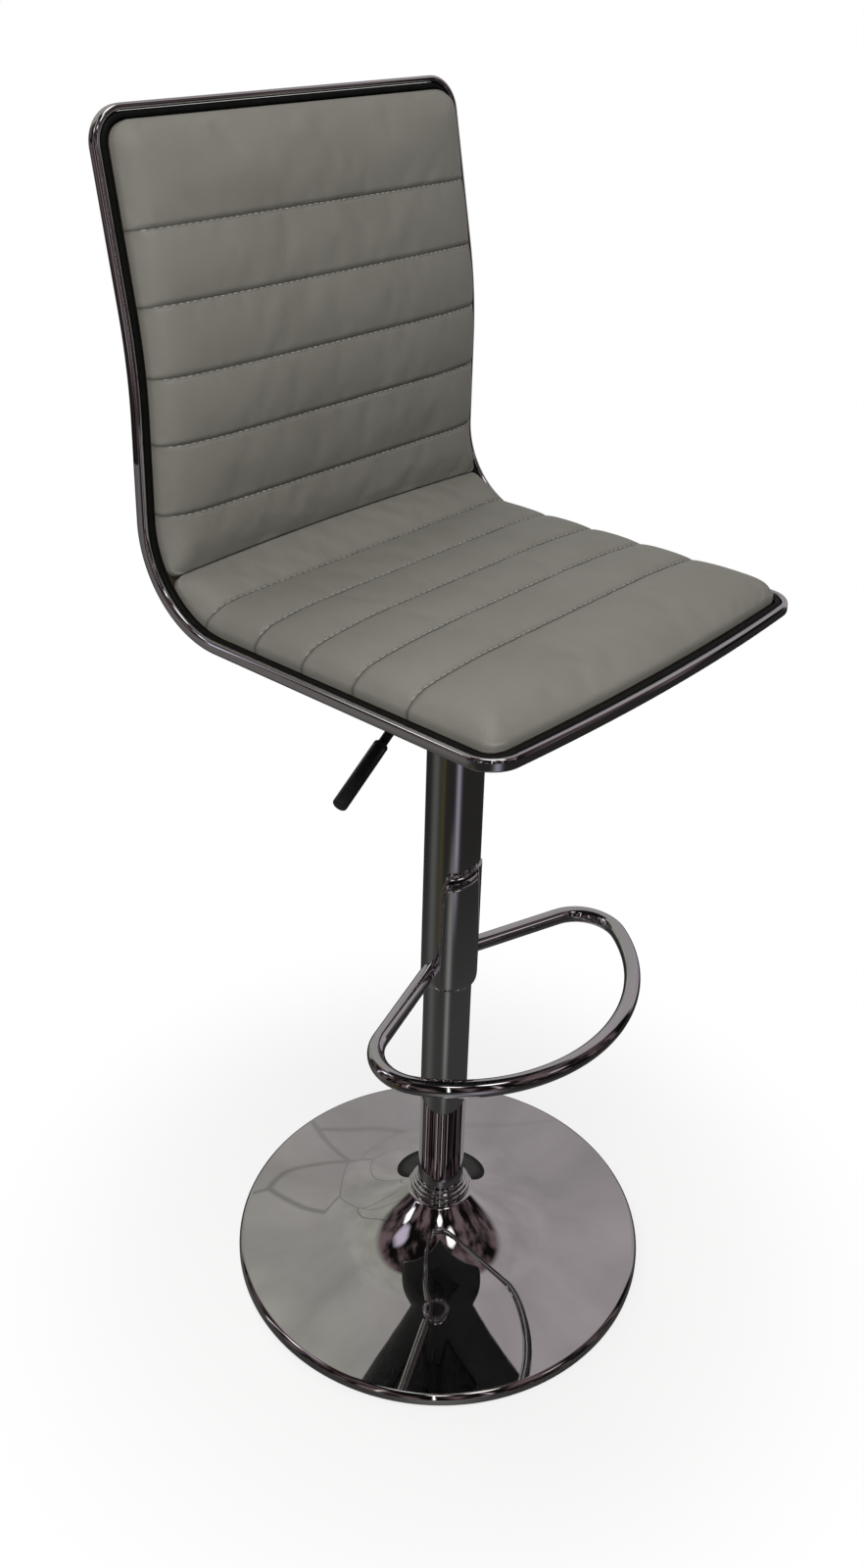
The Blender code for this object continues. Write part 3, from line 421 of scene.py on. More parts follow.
BLACK_METAL = Finish(
    "black_metal", Slot.BLACK_METAL, (0.016, 0.016, 0.017), (0.026, 0.026, 0.027), 0.3, (0.28, 0.42), 90.0,
    grain_scale=1800.0, grain_depth=0.0001, grain_strength=0.35,
)
GRIP = Finish(
    "grip_plastic", Slot.GRIP, (0.010, 0.010, 0.011), (0.017, 0.017, 0.018), 0.0, (0.3, 0.42), 120.0,
    grain_scale=1600.0, grain_depth=0.0001, grain_strength=0.3,
)
EDGE = Finish(
    "edge_vinyl", Slot.EDGE, (0.0035, 0.0035, 0.0036), (0.006, 0.006, 0.006), 0.0, (0.5, 0.62), 110.0,
    Grain.PEBBLE, 1500.0, 0.0002, 0.3, specular=0.18,
)
REAR = Finish(
    "rear_vinyl", Slot.REAR, (0.016, 0.016, 0.016), (0.023, 0.023, 0.023), 0.0, (0.46, 0.6), 16.0,
    Grain.PEBBLE, 850.0, 0.0003, 0.4, specular=0.35,
)
# The leather's seams get painted shade from SewnLeather.
LEATHER = SewnLeather(
    "faux_leather", Slot.LEATHER, (0.205, 0.200, 0.176), (0.186, 0.181, 0.158), 0.0, (0.44, 0.58), 14.0,
    Grain.PEBBLE, 800.0, 0.0003, 0.35, sheen=0.06,
)
THREAD = Finish(
    "sewing_thread", Slot.LEATHER, (0.37, 0.36, 0.32), (0.29, 0.28, 0.25), 0.0, (0.6, 0.75), 500.0,
    Grain.TWIST, 900.0, 0.0002, 0.7, sheen=0.2,
)
PLYWOOD = Finish(
    "stained_plywood", Slot.PLYWOOD, (0.030, 0.022, 0.015), (0.018, 0.013, 0.009), 0.0, (0.55, 0.7), 30.0,
    Grain.VENEER, 60.0, 0.0002, 0.4,
)

NODE_FINISHES: dict[Finish, tuple[str, ...]] = {
    CHROME: ("base_pan", "column_collar", "lower_column", "cover_tube", "footrest_cuff", "footrest_loop",
             "seat_frame"),
    RUBBER: ("floor_ring",),
    IRON: ("ballast_plate",),
    STEEL: ("column_flange", "column_foot", "bearing_race_lower", "bearing_ball_ring", "bearing_race_upper",
            "piston_rod", "rod_clip", "taper_hub", "seat_plate", "lever_bracket", "lever_pivot_pin",
            "release_pin", *(f"flange_bolt_{i}" for i in range(1, 4)),
            *(f"{kind}_{i}" for kind in ("seat_bolt", "tee_nut") for i in range(1, 5))),
    BLACK_METAL: ("gas_cylinder", "lever_rod"),
    NYLON: ("guide_bush", "cover_top_ring", "cover_bush"),
    GRIP: ("lever_grip",),
    EDGE: ("edge_band",),
    REAR: ("rear_cover",),
    LEATHER: ("seat_cushion", "back_cushion"),
    PLYWOOD: ("seat_shell",),
}


class Wardrobe:
    """Materials that were made, one for each finish."""

    made: dict[str, bpy.types.Material] = {}

    @classmethod
    def dress(cls, piece: Piece, finish: Finish) -> None:
        """Gives a piece one material, made on the finish's first use.

        Args:
            piece: A mesh object.
            finish: Its finish.
        """
        if finish.name not in cls.made:
            cls.made[finish.name] = finish.make()
        piece.data.materials.clear()
        piece.data.materials.append(cls.made[finish.name])


def arc(centre: Point2, radius: float, start: float, end: float, steps: int) -> list[Point2]:
    """Points of an arc between two angles in degrees, both ends included."""
    turns = [math.radians(start + (end - start) * i / steps) for i in range(steps + 1)]
    return [(centre[0] + radius * math.cos(t), centre[1] + radius * math.sin(t)) for t in turns]


def circle(radius: float, sides: int) -> list[Point2]:
    """Points of a circle round zero."""
    return arc((0.0, 0.0), radius, 0.0, 360.0, sides)[:-1]


def rounded(count: int) -> list[float]:
    """Shares from 0 to 1 that lie closer together towards 1, as points round a corner do."""
    return [math.sin(math.pi / 2 * i / count) for i in range(count + 1)]


def climb(distance: float, reach: float) -> float:
    """A share that climbs from 0 towards 1 over a reach."""
    return 1.0 - math.exp(-distance / reach)


class Bench:
    """Blender's edit-mode tools, used on one new mesh at a time."""

    @staticmethod
    def clear() -> None:
        """Deselects everything."""
        bpy.ops.object.select_all(action="DESELECT")

    @staticmethod
    def hold(piece: Piece) -> None:
        """Selects one piece alone.

        Args:
            piece: The piece.
        """
        Bench.clear()
        bpy.context.view_layer.objects.active = piece
        piece.select_set(True)

    @staticmethod
    def open() -> None:
        """Opens the active mesh in edit mode with everything selected."""
        bpy.ops.object.mode_set(mode="EDIT")
        bpy.ops.mesh.select_all(action="SELECT")

    @staticmethod
    def leave() -> None:
        """Leaves edit mode."""
        bpy.ops.object.mode_set(mode="OBJECT")

    @staticmethod
    def begin(name: str, primitive: Callable[..., object], **settings: object) -> Piece:
        """Adds a primitive, which is then selected alone.

        Args:
            name: The piece's name.
            primitive: The tool that adds it.
            settings: The tool's settings.

        Returns:
            The object.
        """
        Bench.clear()
        primitive(**settings)
        made = bpy.context.object
        made.name = name
        made.data.name = name
        return made

    @staticmethod
    def ring(name: str, points: list[Point3]) -> Piece:
        """A closed ring of selected edges.

        Args:
            name: The piece's name.
            points: The ring's points, in order.

        Returns:
            The object, in edit mode.
        """
        circle_tool = bpy.ops.mesh.primitive_circle_add
        made = Bench.begin(name, circle_tool, vertices=len(points), radius=0.01, fill_type="NOTHING")
        for vertex, point in zip(made.data.vertices, points):
            vertex.co = point
        Bench.open()
        return made

    @staticmethod
    def grid(name: str, columns: int, rows: int) -> Piece:
        """A flat grid from -0.5 to 0.5 with columns along X, which is shaped point by point later."""
        grid_tool = bpy.ops.mesh.primitive_grid_add
        return Bench.begin(name, grid_tool, x_subdivisions=columns, y_subdivisions=rows, size=1.0)

    @staticmethod
    def push(step: Point3, times: int = 1) -> None:
        """Extrudes what is selected, by one step each time."""
        for _ in range(times):
            bpy.ops.mesh.extrude_region_move(TRANSFORM_OT_translate={"value": step})

    @staticmethod
    def swing(steps: int, degrees: float, centre: Point3, axis: Point3) -> None:
        """Spins the selected ring right-handed about an axis, where the tool itself turns the other way."""
        angle = -math.radians(degrees)
        bpy.ops.mesh.spin(steps=steps, angle=angle, center=centre, axis=axis, use_auto_merge=False)

    @staticmethod
    def face_outwards() -> None:
        """Turns all faces outwards."""
        Bench.open()
        bpy.ops.mesh.normals_make_consistent(inside=False)

    @staticmethod
    def cap(sides: int) -> None:
        """Closes a tube's open ends, which have that many sides."""
        Bench.open()
        bpy.ops.mesh.fill_holes(sides=sides)

    @staticmethod
    def close(smooth_angle: float = 40.0) -> Piece:
        """Merges doubles, turns the faces outwards, leaves edit mode and shades the active piece.

        Args:
            smooth_angle: Edges sharper than this many degrees stay sharp.

        Returns:
            The piece.
        """
        Bench.open()
        bpy.ops.mesh.remove_doubles(threshold=0.000005)
        Bench.face_outwards()
        Bench.leave()
        bpy.ops.object.shade_smooth_by_angle(angle=math.radians(smooth_angle))
        return bpy.context.object

    @staticmethod
    def turn(name: str, profile: list[Point2], steps: int, smooth_angle: float = 40.0) -> Piece:
        """Spins a closed (radius, height) profile round Z.

        Args:
            name: The piece's name.
            profile: The profile's points. A profile that leaves the axis is closed to its first point.
            steps: Steps of the spin.
            smooth_angle: Edges sharper than this many degrees stay sharp.

        Returns:
            The piece.
        """
        points = [Vector((radius, 0.0, height)) for radius, height in profile]
        if profile[0][0] > 0.0:
            points.append(points[0])
        Bench.begin(name, bpy.ops.mesh.primitive_plane_add, size=0.01)
        Bench.open()
        bpy.ops.mesh.merge(type="CENTER")
        bpy.ops.transform.translate(value=points[0])
        for before, after in zip(points, points[1:]):
            Bench.push(after - before)
        Bench.open()
        bpy.ops.mesh.remove_doubles(threshold=0.000001)
        Bench.open()
        bpy.ops.mesh.spin(steps=steps, angle=math.tau, center=(0.0, 0.0, 0.0), axis=UPRIGHT)
        return Bench.close(smooth_angle)

    @staticmethod
    def apply(piece: Piece, kind: str, **settings: object) -> None:
        """Adds a modifier and applies it.

        Args:
            piece: The object.
            kind: The modifier's type.
            settings: Its settings.
        """
        Bench.hold(piece)
        modifier = piece.modifiers.new(kind.lower(), kind)
        for name, value in settings.items():
            setattr(modifier, name, value)
        bpy.ops.object.modifier_apply(modifier=modifier.name)

    @staticmethod
    def mirror(piece: Piece, reach: float) -> None:
        """Mirrors a half across X and joins points that lie within a reach of the middle."""
        Bench.apply(piece, "MIRROR", use_axis=(True, False, False), use_clip=True, merge_threshold=reach)

    @staticmethod
    def thicken(piece: Piece, sheet: float, outwards: bool) -> None:
        """Gives a sheet its thickness, on the side its faces point to or on the other one."""
        Bench.apply(piece, "SOLIDIFY", thickness=sheet, offset=1.0 if outwards else -1.0)

    @staticmethod
    def move(piece: Piece, matrix: Matrix) -> None:
        """Moves a piece and applies the move to its mesh.

        Args:
            piece: The object.
            matrix: The move.
        """
        Bench.hold(piece)
        piece.matrix_world = matrix
        bpy.ops.object.transform_apply(location=True, rotation=True, scale=True)


def fit(piece: Piece, body: Body, finish: Finish, *nodes: str) -> None:
    """Dresses a piece and puts it on its body in place of CAD nodes.

    Args:
        piece: The piece.
        body: The body it rides on.
        finish: Its finish.
        nodes: CAD nodes that it stands for.
    """
    Wardrobe.dress(piece, finish)
    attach(piece, body.value)
    if nodes:
        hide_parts(*nodes)
    LOG.info("%s: %d faces on %s", piece.name, len(piece.data.polygons), body.value)


@dataclass
class Foot:
    """The chromed base with its floor ring, collar and fixed column."""

    radius: float = 0.2045  # Base radius.
    sheet: float = 0.0015  # Thickness of the spun sheet.
    rim_top: float = 0.012  # Height of the rim.
    rim_roll: float = 0.007  # Radius of the rolled rim.
    rim_clearance: float = 0.0025  # Height of the rim's lower edge.
    disc_slope: float = math.radians(10.0)  # Slope of the disc, in radians.
    sweep_radius: float = 0.118  # Radius where the disc begins to sweep up to the neck.
    neck: float = 0.031  # Radius of the neck.
    neck_height: float = 0.066  # Height of the neck.
    ring_width: float = 0.0142  # Width of the floor ring.
    # Gap between the floor ring and the sheet, beside it and above it.
    ring_play: Point2 = (0.0013, 0.003)
    ring_edges: Point2 = (0.0008, 0.0009)  # The floor ring's bevels, at its top and at its tread.
    # Where the tread's groove starts and ends, inwards from the ring's outside.
    groove: Point2 = (0.0050, 0.0092)
    groove_depth: Point2 = (0.0010, 0.0005)  # Depth of that groove and slant of its walls.
    column: float = 0.0227  # Column radius.
    column_wall: float = 0.0015  # Column wall.
    column_bottom: float = 0.0124  # Foot of the column.
    column_top: float = 0.405  # Top of the column.
    collar_height: float = 0.015  # Height of the collar above the neck.
    collar_socket: float = 0.008  # Depth of the collar's sleeve in the neck.
    collar_step: float = 0.0012  # How far the collar's brim stays inside the neck.
    bevel: float = 0.0004  # Bevel on the tubes' edges.
    gap: float = 0.0003  # Gap between pieces.

    def pan_side(self, inwards: float) -> list[Point2]:
        """The pan's profile from neck to rim.

        Args:
            inwards: How far the profile is moved into the sheet.

        Returns:
            The profile's points.
        """
        centre = Vector((self.radius - self.rim_roll, self.rim_top - self.rim_roll))
        disc_out = Vector((math.sin(self.disc_slope), math.cos(self.disc_slope)))
        edge = centre + disc_out * self.rim_roll
        disc_rise = (edge.x - self.sweep_radius) * math.tan(self.disc_slope)
        foot = Vector((self.sweep_radius, edge.y + disc_rise))
        chord = math.atan2(self.neck_height - foot.y, self.sweep_radius - self.neck)
        slope = 2.0 * chord - self.disc_slope
        sweep = (self.sweep_radius - self.neck) / (math.sin(slope) - math.sin(self.disc_slope))
        turns = [270.0 - math.degrees(turn) for turn in (slope, self.disc_slope)]
        hollow = arc(foot + disc_out * sweep, sweep + inwards, *turns, 32)
        side = [(self.neck - inwards, self.neck_height)]
        if inwards:
            drop = inwards * (1.0 / math.cos(slope) - math.tan(slope))
            side += [(self.neck - inwards, self.neck_height - drop), hollow[0]]
        side += hollow[1:]
        side += arc(centre, self.rim_roll - inwards, 90.0 - math.degrees(self.disc_slope), 0.0, 14)
        side.append((self.radius - inwards, self.rim_clearance))
        return side

    def build_pan(self) -> None:
        """The spun pan: hollow sweep, disc and rolled rim."""
        profile = self.pan_side(0.0) + self.pan_side(self.sheet)[::-1]
        fit(Bench.turn("base_pan_spun", profile, 160, 50.0), Body.BASE, SPUN_CHROME, "base_pan")

    def build_floor_ring(self) -> None:
        """The rubber ring under the rim, with a groove in its tread."""
        outer = self.radius - self.sheet - self.ring_play[0]
        inner = outer - self.ring_width
        top = self.rim_top - self.sheet - self.ring_play[1]
        high, low = self.ring_edges
        start, end = outer - self.groove[0], outer - self.groove[1]
        depth, slant = self.groove_depth
        profile = [(inner, top), (outer - high, top), (outer, top - high), (outer, low), (outer - low, 0.0)]
        profile += [(start, 0.0), (start - slant, depth), (end + slant, depth), (end, 0.0)]
        profile += [(inner + low, 0.0), (inner, low)]
        fit(Bench.turn("floor_ring_rubber", profile, 120), Body.BASE, RUBBER, "floor_ring")

    def build_collar(self) -> None:
        """The collar's three rings round the column, over a sleeve in the neck."""
        bottom = self.neck_height + self.gap
        bore = self.column + self.gap
        top = self.neck_height + self.collar_height
        sleeve = self.neck - self.sheet - self.gap
        brim = self.neck - self.collar_step
        profile = [(bore, top - self.bevel), (bore + self.bevel, top)]
        profile += arc((bore + 0.0011, top - 0.0009), 0.0009, 85.0, 0.0, 6)
        profile += [(bore + 0.0020, top - 0.0040), (bore + 0.0023, top - 0.0044)]
        profile += arc((bore + 0.0033, top - 0.0057), 0.0011, 82.0, 0.0, 6)
        profile += [(bore + 0.0044, top - 0.0072), (bore + 0.0047, top - 0.0078)]
        profile += arc((brim - 0.0014, top - 0.0096), 0.0014, 82.0, -60.0, 10)
        profile += [(brim - 0.0007, bottom), (sleeve, bottom)]
        profile += [(radius, bottom - self.collar_socket) for radius in (sleeve, bore)]
        fit(Bench.turn("column_collar_rings", profile, 96, 35.0), Body.BASE, CHROME, "column_collar")

    def build_column(self) -> None:
        """The fixed column tube."""
        bore = self.column - self.column_wall
        profile = [(bore, self.column_top), (self.column - self.bevel, self.column_top)]
        profile += [(self.column, self.column_top - self.bevel), (self.column, self.column_bottom)]
        profile.append((bore, self.column_bottom))
        fit(Bench.turn("lower_column_tube", profile, 96), Body.BASE, CHROME, "lower_column")

    def build(self) -> None:
        """Builds the foot's pieces."""
        self.build_pan()
        self.build_floor_ring()
        self.build_collar()
        self.build_column()


@dataclass
class Lift:
    """The cover tube over the column, and the footrest that is welded on it."""

    cover: float = 0.026  # Cover tube radius.
    cover_wall: float = 0.0015  # Its wall.
    cover_bottom: float = 0.331  # Its lower end.
    cover_top: float = 0.668  # Its upper end.
    cover_lip: Point2 = (0.008, 0.0026)  # Height of its lower lip and how far it is drawn in.
    cuff_bottom: float = 0.333  # Lower edge of the footrest's cuff.
    cuff_top: float = 0.4635  # Upper edge of the cuff.
    cuff_half: float = 67.0  # Half of the cuff's wrap in degrees.
    cuff_sheet: float = 0.0012  # Cuff thickness.
    cuff_corner: Point2 = (0.027, 0.0147)  # Height and width of the cuff's rounded upper corners.
    weld_bead: float = 0.0011  # Radius of the weld's bead.
    weld_pitch: float = 0.0036  # Length of one bead.
    # Depth under the cuff's top below which the weld has no beads, and where they are full.
    weld_plain: Point2 = (0.055, 0.025)
    rest_height: float = 0.350  # Height of the footrest's tube.
    rest_tube: float = 0.0076  # Tube radius.
    rest_radius: float = 0.1695  # Radius of the front arc.
    rest_centre_y: float = -0.004  # Middle of the front arc.
    rest_bend: float = 0.0406  # Radius of the two side bends.
    arm_y: float = 0.0006  # Where the arms leave the cover tube.
    arm_slope: float = 18.5  # How far the arms turn forwards, in degrees.
    bevel: float = 0.0004  # Bevel on the edges.
    gap: float = 0.0003  # Gap between pieces.

    def lip(self, height: float) -> float:
        """Outer radius of the cover tube, which draws in at its lower lip.

        Args:
            height: Height above the floor.

        Returns:
            The radius there.
        """
        deep, drawn = self.cover_lip
        share = min(1.0, max(0.0, 1.0 - (height - self.cover_bottom) / deep))
        return self.cover - drawn * (1.0 - math.sqrt(1.0 - share**2))

    def build_cover(self) -> None:
        """The cover tube with its drawn-in lower lip, half as thick at its edge."""
        wall = self.cover_wall
        profile = [(self.cover - wall, self.cover_top), (self.cover - self.bevel, self.cover_top)]
        profile.append((self.cover, self.cover_top - self.bevel))
        inside = []
        for part in rounded(10):
            height = self.cover_bottom + self.cover_lip[0] * (1.0 - part)
            profile.append((self.lip(height), height))
            inside.append((self.lip(height) - wall * (1.0 - part / 2), height))
        profile += inside[::-1]
        fit(Bench.turn("cover_tube_polished", profile, 96), Body.SEAT, CHROME, "cover_tube")

    def cuff_edge(self, height: float) -> float:
        """Half of the cuff's wrap at a height.

        Args:
            height: Height above the floor.

        Returns:
            The half angle in radians, less in the rounded corners.
        """
        corner_height, corner_width = self.cuff_corner
        reach = max(0.0, 1.0 - (self.cuff_top - height) / corner_height)
        lost = corner_width * (1.0 - math.sqrt(max(0.0, 1.0 - reach**2)))
        return math.radians(self.cuff_half) - lost / (self.cover + self.gap)

    def build_cuff(self) -> None:
        """The curved plate on the front of the cover tube."""
        corner = self.cuff_corner[0]
        heights = [self.cuff_bottom + step for step in (0.0, 0.0007, 0.0016, 0.0027, 0.0040, 0.0056)]
        straight = self.cuff_top - corner - heights[-1]
        heights += [heights[-1] + straight * i / 12 for i in range(1, 12)]
        heights += [self.cuff_top - corner * (1.0 - part) for part in rounded(16)]
        last = len(heights) - 1
        made = Bench.grid("footrest_cuff_plate", 36, last)
        for vertex in made.data.vertices:
            height = heights[round((vertex.co.y + 0.5) * last)]
            turn = 2.0 * vertex.co.x * self.cuff_edge(height)
            inner = self.lip(height) + self.gap
            vertex.co = (inner * math.sin(turn), -inner * math.cos(turn), height)
        Bench.face_outwards()
        Bench.leave()
        outwards = sum(-face.normal.y for face in made.data.polygons) > 0.0
        Bench.thicken(made, self.cuff_sheet, outwards)
        Bench.apply(made, "BEVEL", width=self.bevel, segments=2, limit_method="ANGLE")
        fit(Bench.close(35.0), Body.SEAT, CHROME, "footrest_cuff")

    def weld_path(self, count: int) -> list[Point2]:
        """The weld's line up the cuff's left edge, over its top and down its right edge.

        Args:
            count: Number of steps.

        Returns:
            Distances round the tube with heights, evenly spaced.
        """
        girth = self.cover + self.gap
        low = self.rest_height + self.rest_tube + 0.003
        heights = [low + (self.cuff_top - low) * part for part in rounded(60)]
        half = [(self.cuff_edge(h) * girth + 0.0003, h) for h in heights]
        rough = [(-flat, h) for flat, h in half] + half[::-1]
        ways = [0.0]
        for before, after in zip(rough, rough[1:]):
            ways.append(ways[-1] + math.dist(before, after))
        path = []
        for i in range(count + 1):
            way = ways[-1] * i / count
            leg = max(k for k in range(len(rough) - 1) if ways[k] <= way)
            part = (way - ways[leg]) / max(ways[leg + 1] - ways[leg], 0.000001)
            path.append(tuple(a + (b - a) * part for a, b in zip(rough[leg], rough[leg + 1])))
        return path

    def build_weld(self) -> None:
        """The weld that joins the cuff's edge to the tube, beaded near the top and plain lower down."""
        sides, count = 10, 260
        path = self.weld_path(count)
        made = Bench.ring("cuff_weld", [(x, y, 0.0) for x, y in circle(self.weld_bead, sides)])
        Bench.push(UPRIGHT, count)
        Bench.leave()
        stride = math.dist(path[0], path[1])
        plain, full = self.weld_plain
        for vertex in made.data.vertices:
            step = min(count, round(vertex.co.z))
            before, after = path[max(0, step - 1)], path[min(count, step + 1)]
            run = Vector((after[0] - before[0], after[1] - before[1])).normalized()
            beaded = max(0.0, min(1.0, (path[step][1] - self.cuff_top + plain) / (plain - full)))
            wave = abs(math.cos(math.pi * step * stride / self.weld_pitch))
            swell = 0.84 + beaded * (0.24 * wave - 0.12)
            swell *= 0.2 if step in (0, count) else 1.0
            flat = path[step][0] + vertex.co.x * swell * run.y
            height = path[step][1] - vertex.co.x * swell * run.x
            out = self.cover + 0.0006 + vertex.co.y * swell * 0.85
            turn = flat / (self.cover + self.gap)
            vertex.co = (out * math.sin(turn), -out * math.cos(turn), height)
        Bench.cap(sides)
        fit(Bench.close(60.0), Body.SEAT, WELD)

    def build_footrest(self) -> None:
        """The footrest's bent tube: a straight arm, a bend and half the front arc, mirrored."""
        slope = math.radians(self.arm_slope)
        run = Vector((math.cos(slope), -math.sin(slope), 0.0))
        inwards = Vector((-math.sin(slope), -math.cos(slope), 0.0))
        root = Vector((self.cover, self.arm_y, self.rest_height))
        middle = Vector((0.0, self.rest_centre_y, self.rest_height))
        away = root + inwards * self.rest_bend - middle
        reach = self.rest_radius - self.rest_bend
        along = away.dot(run)
        arm = -along + math.sqrt(along**2 - away.length_squared + reach**2)
        bend = middle + away + run * arm
        outward = (bend - middle).normalized()
        start = math.degrees(math.atan2(-inwards.y, -inwards.x))
        knee = math.degrees(math.atan2(outward.y, outward.x))
        sides = 32
        ring = [root - inwards * x + Vector((0.0, 0.0, y)) for x, y in circle(self.rest_tube, sides)]
        made = Bench.ring("footrest_bent_tube", ring)
        Bench.push(run * arm)
        Bench.swing(18, knee - start, bend, UPRIGHT)
        Bench.swing(48, -90.0 - knee, middle, UPRIGHT)
        Bench.close(50.0)
        Bench.mirror(made, 0.0001)
        Bench.cap(sides)
        fit(Bench.close(50.0), Body.SEAT, CHROME, "footrest_loop")

    def build(self) -> None:
        """Builds the lift's pieces."""
        self.build_cover()
        self.build_cuff()
        self.build_weld()
        self.build_footrest()


@dataclass(frozen=True)
class SideLine:
    """The seat's line in side view, along the underside and up the rear, and its flat pattern.

    A point of the pattern has its place across, its distance along the line and its height above it.
    """

    front_y: float = -0.2048  # Front end of the line.
    under: float = 0.715  # Height of the line over the column.
    fall: float = math.radians(2.25)  # How far the seat falls to the rear.
    bend_radius: float = 0.085  # Bend between seat and back.
    upright_y: float = 0.1755  # Where the back stands upright.
    upright_run: float = 0.0835  # Length of its upright run.
    lean_radius: float = 0.445  # Radius of the back's curve.
    back_lean: float = math.radians(11.0)  # Lean of the back's upper end.
    top: float = 1.111  # Height of the top.
    width: float = 0.394  # Width over the rim.
    bow: float = 0.010  # How far the front edge bows out.
    bow_reach: float = 0.10  # How far back that bow fades out.
    front_corner: float = 0.025  # Corner radius at the front.
    top_corner: float = 0.030  # Corner radius at the top.
    crease_angle: float = math.radians(52.0)  # Slope of the line at the crease between the pads.
    crease_bow: float = 0.0055  # How far that crease bows up in the middle.
    crease_reach: float = 0.045  # How far from the crease that bow fades out.

    @cached_property
    def runs(self) -> tuple[Point2, ...]:
        """Works out the straight and bent runs of the line.

        Returns:
            Length and turn of each run, from the front edge to the top.
        """
        turn = math.pi / 2 + self.fall
        bend_y = self.upright_y - self.bend_radius * (1.0 + math.sin(self.fall))
        bend_low = self.under - bend_y * math.tan(self.fall)
        lean_top = bend_low + self.bend_radius * math.cos(self.fall) + self.upright_run
        lean_top += self.lean_radius * math.sin(self.back_lean)
        return (
            ((bend_y - self.front_y) / math.cos(self.fall), 0.0),
            (self.bend_radius * turn, turn),
            (self.upright_run, 0.0),
            (self.lean_radius * self.back_lean, -self.back_lean),
            ((self.top - lean_top) / math.cos(self.back_lean), 0.0),
        )

    @cached_property
    def length(self) -> float:
        """Length of the line."""
        return sum(run for run, _ in self.runs)

    @cached_property
    def crease(self) -> float:
        """Distance along the line at which the two pads meet."""
        return self.runs[0][0] + self.bend_radius * (self.crease_angle + self.fall)

    def point(self, along: float) -> Point3:
        """The line at a distance.

        Args:
            along: Distance from the front end.

        Returns:
            Its y and z, and the angle of its run.
        """
        y = self.front_y
        z = self.under - self.front_y * math.tan(self.fall)
        angle = -self.fall
        left = along
        for index, (length, turn) in enumerate(self.runs):
            step = left if index == len(self.runs) - 1 else min(left, length)
            if turn:
                radius = length / turn
                swing = step / radius
                y += radius * (math.sin(angle + swing) - math.sin(angle))
                z -= radius * (math.cos(angle + swing) - math.cos(angle))
                angle += swing
            else:
                y += step * math.cos(angle)
                z += step * math.sin(angle)
            left -= step
            if left <= 0.0:
                break
        return y, z, angle

    def arched(self, x: float) -> float:
        """1 in the middle of the seat and 0 at its sides."""
        return 1.0 - (2.0 * x / self.width) ** 2

    def bowed(self, x: float, along: float) -> float:
        """The distance along once the front edge's bow is added."""
        fade = max(0.0, 1.0 - max(0.0, along) / self.bow_reach) ** 2
        return along - self.bow * self.arched(x) * fade

    def creased(self, x: float, along: float) -> float:
        """The distance along once the crease's bow is added."""
        fade = max(0.0, 1.0 - abs(along - self.crease) / self.crease_reach) ** 2
        return along + self.crease_bow * self.arched(x) * fade

    def wrap(self, x: float, along: float, up: float) -> Vector:
        """A point of the flat pattern, bent onto the line."""
        y, z, angle = self.point(self.bowed(x, along))
        return Vector((x, y - up * math.sin(angle), z + up * math.cos(angle)))

    def outwards(self, x: float, along: float) -> Vector:
        """The direction away from the line, as a unit vector."""
        angle = self.point(self.bowed(x, along))[2]
        return Vector((0.0, -math.sin(angle), math.cos(angle)))

    def half_width(self, along: float, start: float, end: float, half: float, corners: Point2) -> float:
        """Half the width of a rounded panel.

        Args:
            along: Distance along.
            start: Where the panel starts.
            end: Where it ends.
            half: Half its full width.
            corners: Corner radii at its start and end.

        Returns:
            Half its width there.
        """
        for reach, corner in ((along - start, corners[0]), (end - along, corners[1])):
            if reach < corner:
                return half - corner + math.sqrt(max(0.0, corner**2 - (corner - reach) ** 2))
        return half


